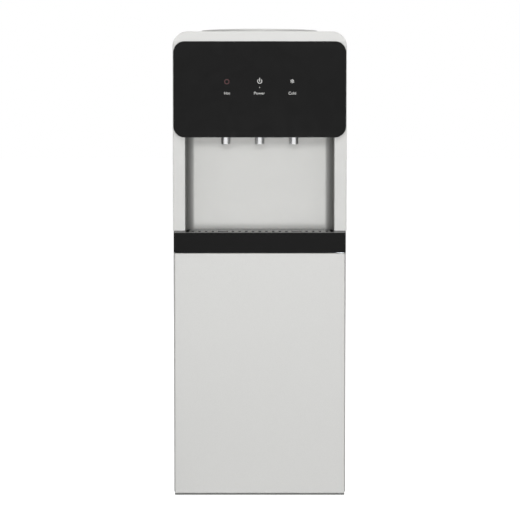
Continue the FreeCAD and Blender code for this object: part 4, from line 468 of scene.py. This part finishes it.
# Fascia: symbols and words in ink, almost flush with the black face. Each word has its centre
# and its width.
fascia = {"faceMm": -185, "proudMm": 0.05, "iconMm": 933.2, "wordMm": 903.7, "wordSizeMm": 8.7,
          "hotMm": -73, "powerMm": 0, "coldMm": 72.2,
          "wordsMm": {"Hot": (-72.4, 12.9), "Power": (-0.6, 24), "Cold": (72.2, 16.4)},
          "lampMm": (-0.3, 919.3), "lampRadiusMm": 0.85, "lampCorners": 24}
printPush = Vector((0, -fascia["proudMm"] * mm, 0))


def onFace(x, z):
    return Vector((x, fascia["faceMm"], z)) * mm


def printArc(mesh, x, z, radius, stroke, fromDegrees=0, toDegrees=360, steps=72):
    whole = toDegrees - fromDegrees == 360
    angles = [math.radians(fromDegrees + (toDegrees - fromDegrees) * i / steps)
              for i in range(steps if whole else steps + 1)]
    outer, inner = ([onFace(x + r * math.cos(a), z + r * math.sin(a)) for a in angles]
                    for r in (radius + stroke / 2, radius - stroke / 2))
    for i in range(len(angles) if whole else len(angles) - 1):
        j = (i + 1) % len(angles)
        raiseOutline(mesh, (outer[i], outer[j], inner[j], inner[i]), printPush)


def printBar(mesh, start, end, stroke, steps=6):
    # a stroke with round ends
    (x0, z0), (x1, z1) = start, end
    lean = math.atan2(z1 - z0, x1 - x0)
    outline = []
    for (x, z), turn in (((x1, z1), lean), ((x0, z0), lean + math.pi)):
        for i in range(steps + 1):
            a = turn - math.pi / 2 + math.pi * i / steps
            outline.append(onFace(x + stroke / 2 * math.cos(a), z + stroke / 2 * math.sin(a)))
    raiseOutline(mesh, outline, printPush)


hotInk = printedInk("hotSymbolInk", "#360b0d", "#3e1012")
whiteInk = printedInk("whiteSymbolInk", "#e4e4e2", "#f2f2f0")
greyInk = printedInk("greyWordInk", "#d4d4d2", "#dededc")

hotSymbol = {"dropMm": 1.2, "radiusMm": 4.8, "strokeMm": 2.2}
hotMesh, finishHot = startPiece("hotSymbol", hotInk, "cabinet")
printArc(hotMesh, fascia["hotMm"], fascia["iconMm"] - hotSymbol["dropMm"], hotSymbol["radiusMm"],
         hotSymbol["strokeMm"])
finishHot()

powerSymbol = {"radiusMm": 4.75, "strokeMm": 1.1, "gapDegrees": 42, "barMm": (932.4, 940.2)}
powerMesh, finishPower = startPiece("powerSymbol", whiteInk, "cabinet")
powerX = fascia["powerMm"]
printArc(powerMesh, powerX, fascia["iconMm"], powerSymbol["radiusMm"], powerSymbol["strokeMm"],
         90 + powerSymbol["gapDegrees"], 450 - powerSymbol["gapDegrees"])
printBar(powerMesh, *((powerX, z) for z in powerSymbol["barMm"]), powerSymbol["strokeMm"])
finishPower()

# Snowflake: three crossing strokes, each end with a pair of short, thinner barbs.
flakeSymbol = {"reachMm": 4.4, "strokeMm": 0.75, "barbAtMm": 2.6, "barbMm": 1.4,
               "barbStrokeMm": 0.6, "barbDegrees": 50}
coldMesh, finishCold = startPiece("coldSymbol", whiteInk, "cabinet")
flakeX, flakeZ = fascia["coldMm"], fascia["iconMm"]
for spoke in range(6):
    heading = math.radians(90 + 60 * spoke)
    along = (math.cos(heading), math.sin(heading))
    if spoke < 3:
        printBar(coldMesh, *((flakeX + k * flakeSymbol["reachMm"] * along[0],
                              flakeZ + k * flakeSymbol["reachMm"] * along[1]) for k in (-1, 1)),
                 flakeSymbol["strokeMm"])
    root = tuple(c + flakeSymbol["barbAtMm"] * a for c, a in zip((flakeX, flakeZ), along))
    for side in (-1, 1):
        lean = heading + side * math.radians(flakeSymbol["barbDegrees"])
        tip = (root[0] + flakeSymbol["barbMm"] * math.cos(lean),
               root[1] + flakeSymbol["barbMm"] * math.sin(lean))
        printBar(coldMesh, root, tip, flakeSymbol["barbStrokeMm"])
finishCold()

lampMesh, finishLamp = startPiece("powerLamp", whiteInk, "cabinet")
lampX, lampZ = fascia["lampMm"]
lampAngles = [math.tau * i / fascia["lampCorners"] for i in range(fascia["lampCorners"])]
raiseOutline(lampMesh, [onFace(lampX + fascia["lampRadiusMm"] * math.cos(a),
                               lampZ + fascia["lampRadiusMm"] * math.sin(a))
                        for a in lampAngles], printPush)
finishLamp()


def printWord(word, x, width):
    curve = bpy.data.curves.new(word, "FONT")
    curve.body = word
    curve.size = fascia["wordSizeMm"] * mm
    curve.extrude = fascia["proudMm"] * mm / 2
    writer = bpy.data.objects.new(word, curve)
    bpy.context.collection.objects.link(writer)
    data = bpy.data.meshes.new_from_object(writer)
    bpy.data.objects.remove(writer)
    reach = [v.co.x for v in data.vertices]
    stretch = width * mm / (max(reach) - min(reach))
    middle = (max(reach) + min(reach)) / 2
    # text is written in XY, so it is stood up to face the front
    data.transform(Matrix.Translation(onFace(x, fascia["wordMm"]) + printPush / 2)
                   @ Matrix.Rotation(math.pi / 2, 4, "X")
                   @ Matrix.Diagonal((stretch, 1, 1, 1)) @ Matrix.Translation((-middle, 0, 0)))
    placePiece("word" + word, data, greyInk, "cabinet")


for word, (x, width) in fascia["wordsMm"].items():
    printWord(word, x, width)
print("fascia printed")


# Painted highlight on the tray: a satin grey strip along its top edge, where the black bevel and
# lip reflect the light from above, wider in front of the pillars.
# Profiles as (y, z).
trayEdgeHighlight = {"pillarMm": (165.6, 191.8), "proudMm": 0.1,
            "bevelMm": ((-184.85, 596.15), (-181.15, 599.85)),
            "lowMm": ((-184.85, 596.15), (-184.05, 596.95)),
            "lipMm": ((-184.0, 597.0), (-182.3, 597.0))}
# the strip's grey is the painted highlight of the black edge
highlightMesh, finishHighlight = startPiece(
    "trayEdgeHighlight", printedInk("paintedEdgeHighlight", "#6b6b6a", "#757574"), "tray")


def layStrip(fromX, toX, profile, normal):
    (y0, z0), (y1, z1) = profile
    corners = [Vector((x, y, z)) * mm for x, y, z in
               ((fromX, y0, z0), (toX, y0, z0), (toX, y1, z1), (fromX, y1, z1))]
    raiseOutline(highlightMesh, corners, Vector(normal).normalized() * trayEdgeHighlight["proudMm"] * mm)


inner, outer = trayEdgeHighlight["pillarMm"]
for side in (-1, 1):
    layStrip(side * inner, side * outer, trayEdgeHighlight["bevelMm"], (0, -1, 1))
layStrip(-inner, inner, trayEdgeHighlight["lowMm"], (0, -1, 1))
layStrip(-inner, inner, trayEdgeHighlight["lipMm"], (0, 0, 1))
finishHighlight()
print("tray edge highlight laid")


# Folded lip of the base pan, the thin dark line under the door, in a darker grey that paints the
# shade under the cabinet: profile as (y, z).
panLip = {"reachMm": 190.5, "profileMm": [(-166, 8.0), (-182.4, 8.0), (-182.4, 5.8), (-183, 5.8),
                                          (-183, 8.6), (-166, 8.6)]}
# the lip's dark grey is partly painted shade
lipMesh, finishLip = startPiece("panLip", printedInk("panLipPaintedShade", "#868684", "#8e8e8c"),
                                "cabinet")
raiseOutline(lipMesh, [Vector((-panLip["reachMm"], y, z)) * mm for y, z in panLip["profileMm"]],
             Vector((2 * panLip["reachMm"] * mm, 0, 0)))
finishLip()
print("pan lip folded")


# Cross recesses in the heads of the rear screws, as flat dark inlays: painted shade where the
# recesses would fall dark.
crossRecess = {"reachMm": 2.1, "strokeMm": 1.0, "proudMm": 0.04, "flatMm": 0.1}
recessMesh, finishRecess = startPiece(
    "screwRecesses", printedInk("recessShade", "#1c1d1e", "#27282a"), "cabinet")
screws = nodes["rear_screws"]
screwPoints = [screws.matrix_world @ v.co for v in screws.data.vertices]
headFace = max(point.y for point in screwPoints)
heads = {}
for point in screwPoints:
    if headFace - point.y < crossRecess["flatMm"] * mm:
        heads.setdefault((point.x > 0, round(point.z, 1)), []).append(point)
for points in heads.values():
    x, z = (sum((max(axis), min(axis))) / 2 for axis in zip(*((p.x, p.z) for p in points)))
    for spanX, spanZ in ((crossRecess["reachMm"], crossRecess["strokeMm"] / 2),
                         (crossRecess["strokeMm"] / 2, crossRecess["reachMm"])):
        raiseOutline(recessMesh, [Vector((x + a * spanX * mm, headFace, z + b * spanZ * mm))
                                  for a, b in ((-1, -1), (1, -1), (1, 1), (-1, 1))],
                     Vector((0, crossRecess["proudMm"] * mm, 0)))
finishRecess()
print("screw recesses inlaid,", len(heads))


# Floor, lamps and camera. Two softboxes stand on both sides of the camera, and the room is
# darker to the left and the right, which draws the edges of pale faces on a pale backdrop.
studio = {"ambient": 0.2, "sideLevel": 0.12, "sideFrom": 0.45, "sideTo": 0.92,
          "floorReach": 30, "floorWhite": 0.75, "floorGlow": 0.9, "aim": (0, 0, 0.55),
          "keyPlaces": [(-0.37, -4.6, 1.6), (0.37, -4.6, 1.6)], "keySize": 0.55, "keyPower": 22,
          "lowPlace": (0, -4.6, 0.28), "lowSize": 0.5, "lowPower": 41, "lowAim": (0, 0, 0.3),
          "topPlace": (0.1, -1.6, 3.4), "topSize": 1.8, "topPower": 48,
          "backPlace": (1.6, 3.4, 2.4), "backSize": 2.4, "backPower": 45}
lens = {"place": (0.0006, -5.185, 0.885), "pitchDown": 4.0, "focalMm": 155.5, "sensorMm": 36}


def seenRay(tree):
    # 1 for rays from the camera, and for those that a shiny or clear surface sends on
    path = addNode(tree, "ShaderNodeLightPath")
    shiny = addNode(tree, "ShaderNodeMath", {"operation": "MAXIMUM"},
                    {0: path.outputs["Is Camera Ray"], 1: path.outputs["Is Glossy Ray"]})
    seen = addNode(tree, "ShaderNodeMath", {"operation": "MAXIMUM"},
                   {0: shiny.outputs[0], 1: path.outputs["Is Transmission Ray"]})
    return seen.outputs[0], path.outputs["Is Camera Ray"]


world = bpy.data.worlds.new("studioWhite")
bpy.context.scene.world = world
world.use_nodes = True
worldTree = world.node_tree
backdrop = worldTree.nodes["Background"]
backdrop.inputs["Color"].default_value = (1, 1, 1, 1)
seen, fromCamera = seenRay(worldTree)
heading = addNode(worldTree, "ShaderNodeSeparateXYZ",
                  {}, {0: addNode(worldTree, "ShaderNodeTexCoord").outputs["Generated"]})
sideways = addNode(worldTree, "ShaderNodeMath", {"operation": "ABSOLUTE"},
                   {0: heading.outputs["X"]})
sideFall = addNode(worldTree, "ShaderNodeMapRange",
                   {"interpolation_type": "SMOOTHSTEP", "From Min": studio["sideFrom"],
                    "From Max": studio["sideTo"], "To Min": 1.0, "To Max": studio["sideLevel"]},
                   {"Value": sideways.outputs[0]})
brightness = addNode(worldTree, "ShaderNodeMapRange",
                     {"To Min": studio["ambient"], "To Max": 1.0}, {"Value": seen})
room = addNode(worldTree, "ShaderNodeMath", {"operation": "MULTIPLY"},
               {0: sideFall.outputs["Result"], 1: brightness.outputs["Result"]})
strength = addNode(worldTree, "ShaderNodeMath", {"operation": "MAXIMUM"},
                   {0: room.outputs[0], 1: fromCamera})
worldTree.links.new(strength.outputs[0], backdrop.inputs["Strength"])

floorMesh = bmesh.new()
bmesh.ops.create_grid(floorMesh, x_segments=1, y_segments=1, size=studio["floorReach"])
floorData = bpy.data.meshes.new("floor")
floorMesh.to_mesh(floorData)
floorMesh.free()
floor = bpy.data.objects.new("floor", floorData)
bpy.context.collection.objects.link(floor)
floorPaint = bpy.data.materials.new("studioFloor")
floorPaint.use_nodes = True
floorTree = floorPaint.node_tree
floorTree.nodes.remove(floorTree.nodes["Principled BSDF"])
matt = addNode(floorTree, "ShaderNodeBsdfDiffuse", {"Color": (studio["floorWhite"],) * 3 + (1,)})
glowPower = addNode(floorTree, "ShaderNodeMath",
                    {"operation": "MULTIPLY", 1: studio["floorGlow"]}, {0: seenRay(floorTree)[0]})
glow = addNode(floorTree, "ShaderNodeEmission", {"Color": (1, 1, 1, 1)},
               {"Strength": glowPower.outputs[0]})
both = addNode(floorTree, "ShaderNodeAddShader", links={0: matt.outputs[0], 1: glow.outputs[0]})
floorTree.links.new(both.outputs[0], floorTree.nodes["Material Output"].inputs["Surface"])
floorData.materials.append(floorPaint)


def hangLamp(name, place, size, power, target=studio["aim"]):
    lamp = bpy.data.lights.new(name, "AREA")
    lamp.shape = "SQUARE"
    lamp.size = size
    lamp.energy = power
    holder = bpy.data.objects.new(name, lamp)
    bpy.context.collection.objects.link(holder)
    holder.location = place
    holder.rotation_euler = (Vector(target) - Vector(place)).to_track_quat("-Z", "Y").to_euler()


for number, place in enumerate(studio["keyPlaces"]):
    hangLamp(f"keySoftbox{number}", place, studio["keySize"], studio["keyPower"])
hangLamp("lowSoftbox", studio["lowPlace"], studio["lowSize"], studio["lowPower"],
         studio["lowAim"])
hangLamp("topSoftbox", studio["topPlace"], studio["topSize"], studio["topPower"])
hangLamp("backSoftbox", studio["backPlace"], studio["backSize"], studio["backPower"])

camera = bpy.data.objects.new("camera", bpy.data.cameras.new("camera"))
bpy.context.collection.objects.link(camera)
camera.location = lens["place"]
camera.rotation_euler = (math.radians(90 - lens["pitchDown"]), 0, 0)
camera.data.sensor_width = lens["sensorMm"]
camera.data.lens = lens["focalMm"]
bpy.context.scene.camera = camera
bpy.context.scene.view_settings.view_transform = "Standard"
print("studio done")
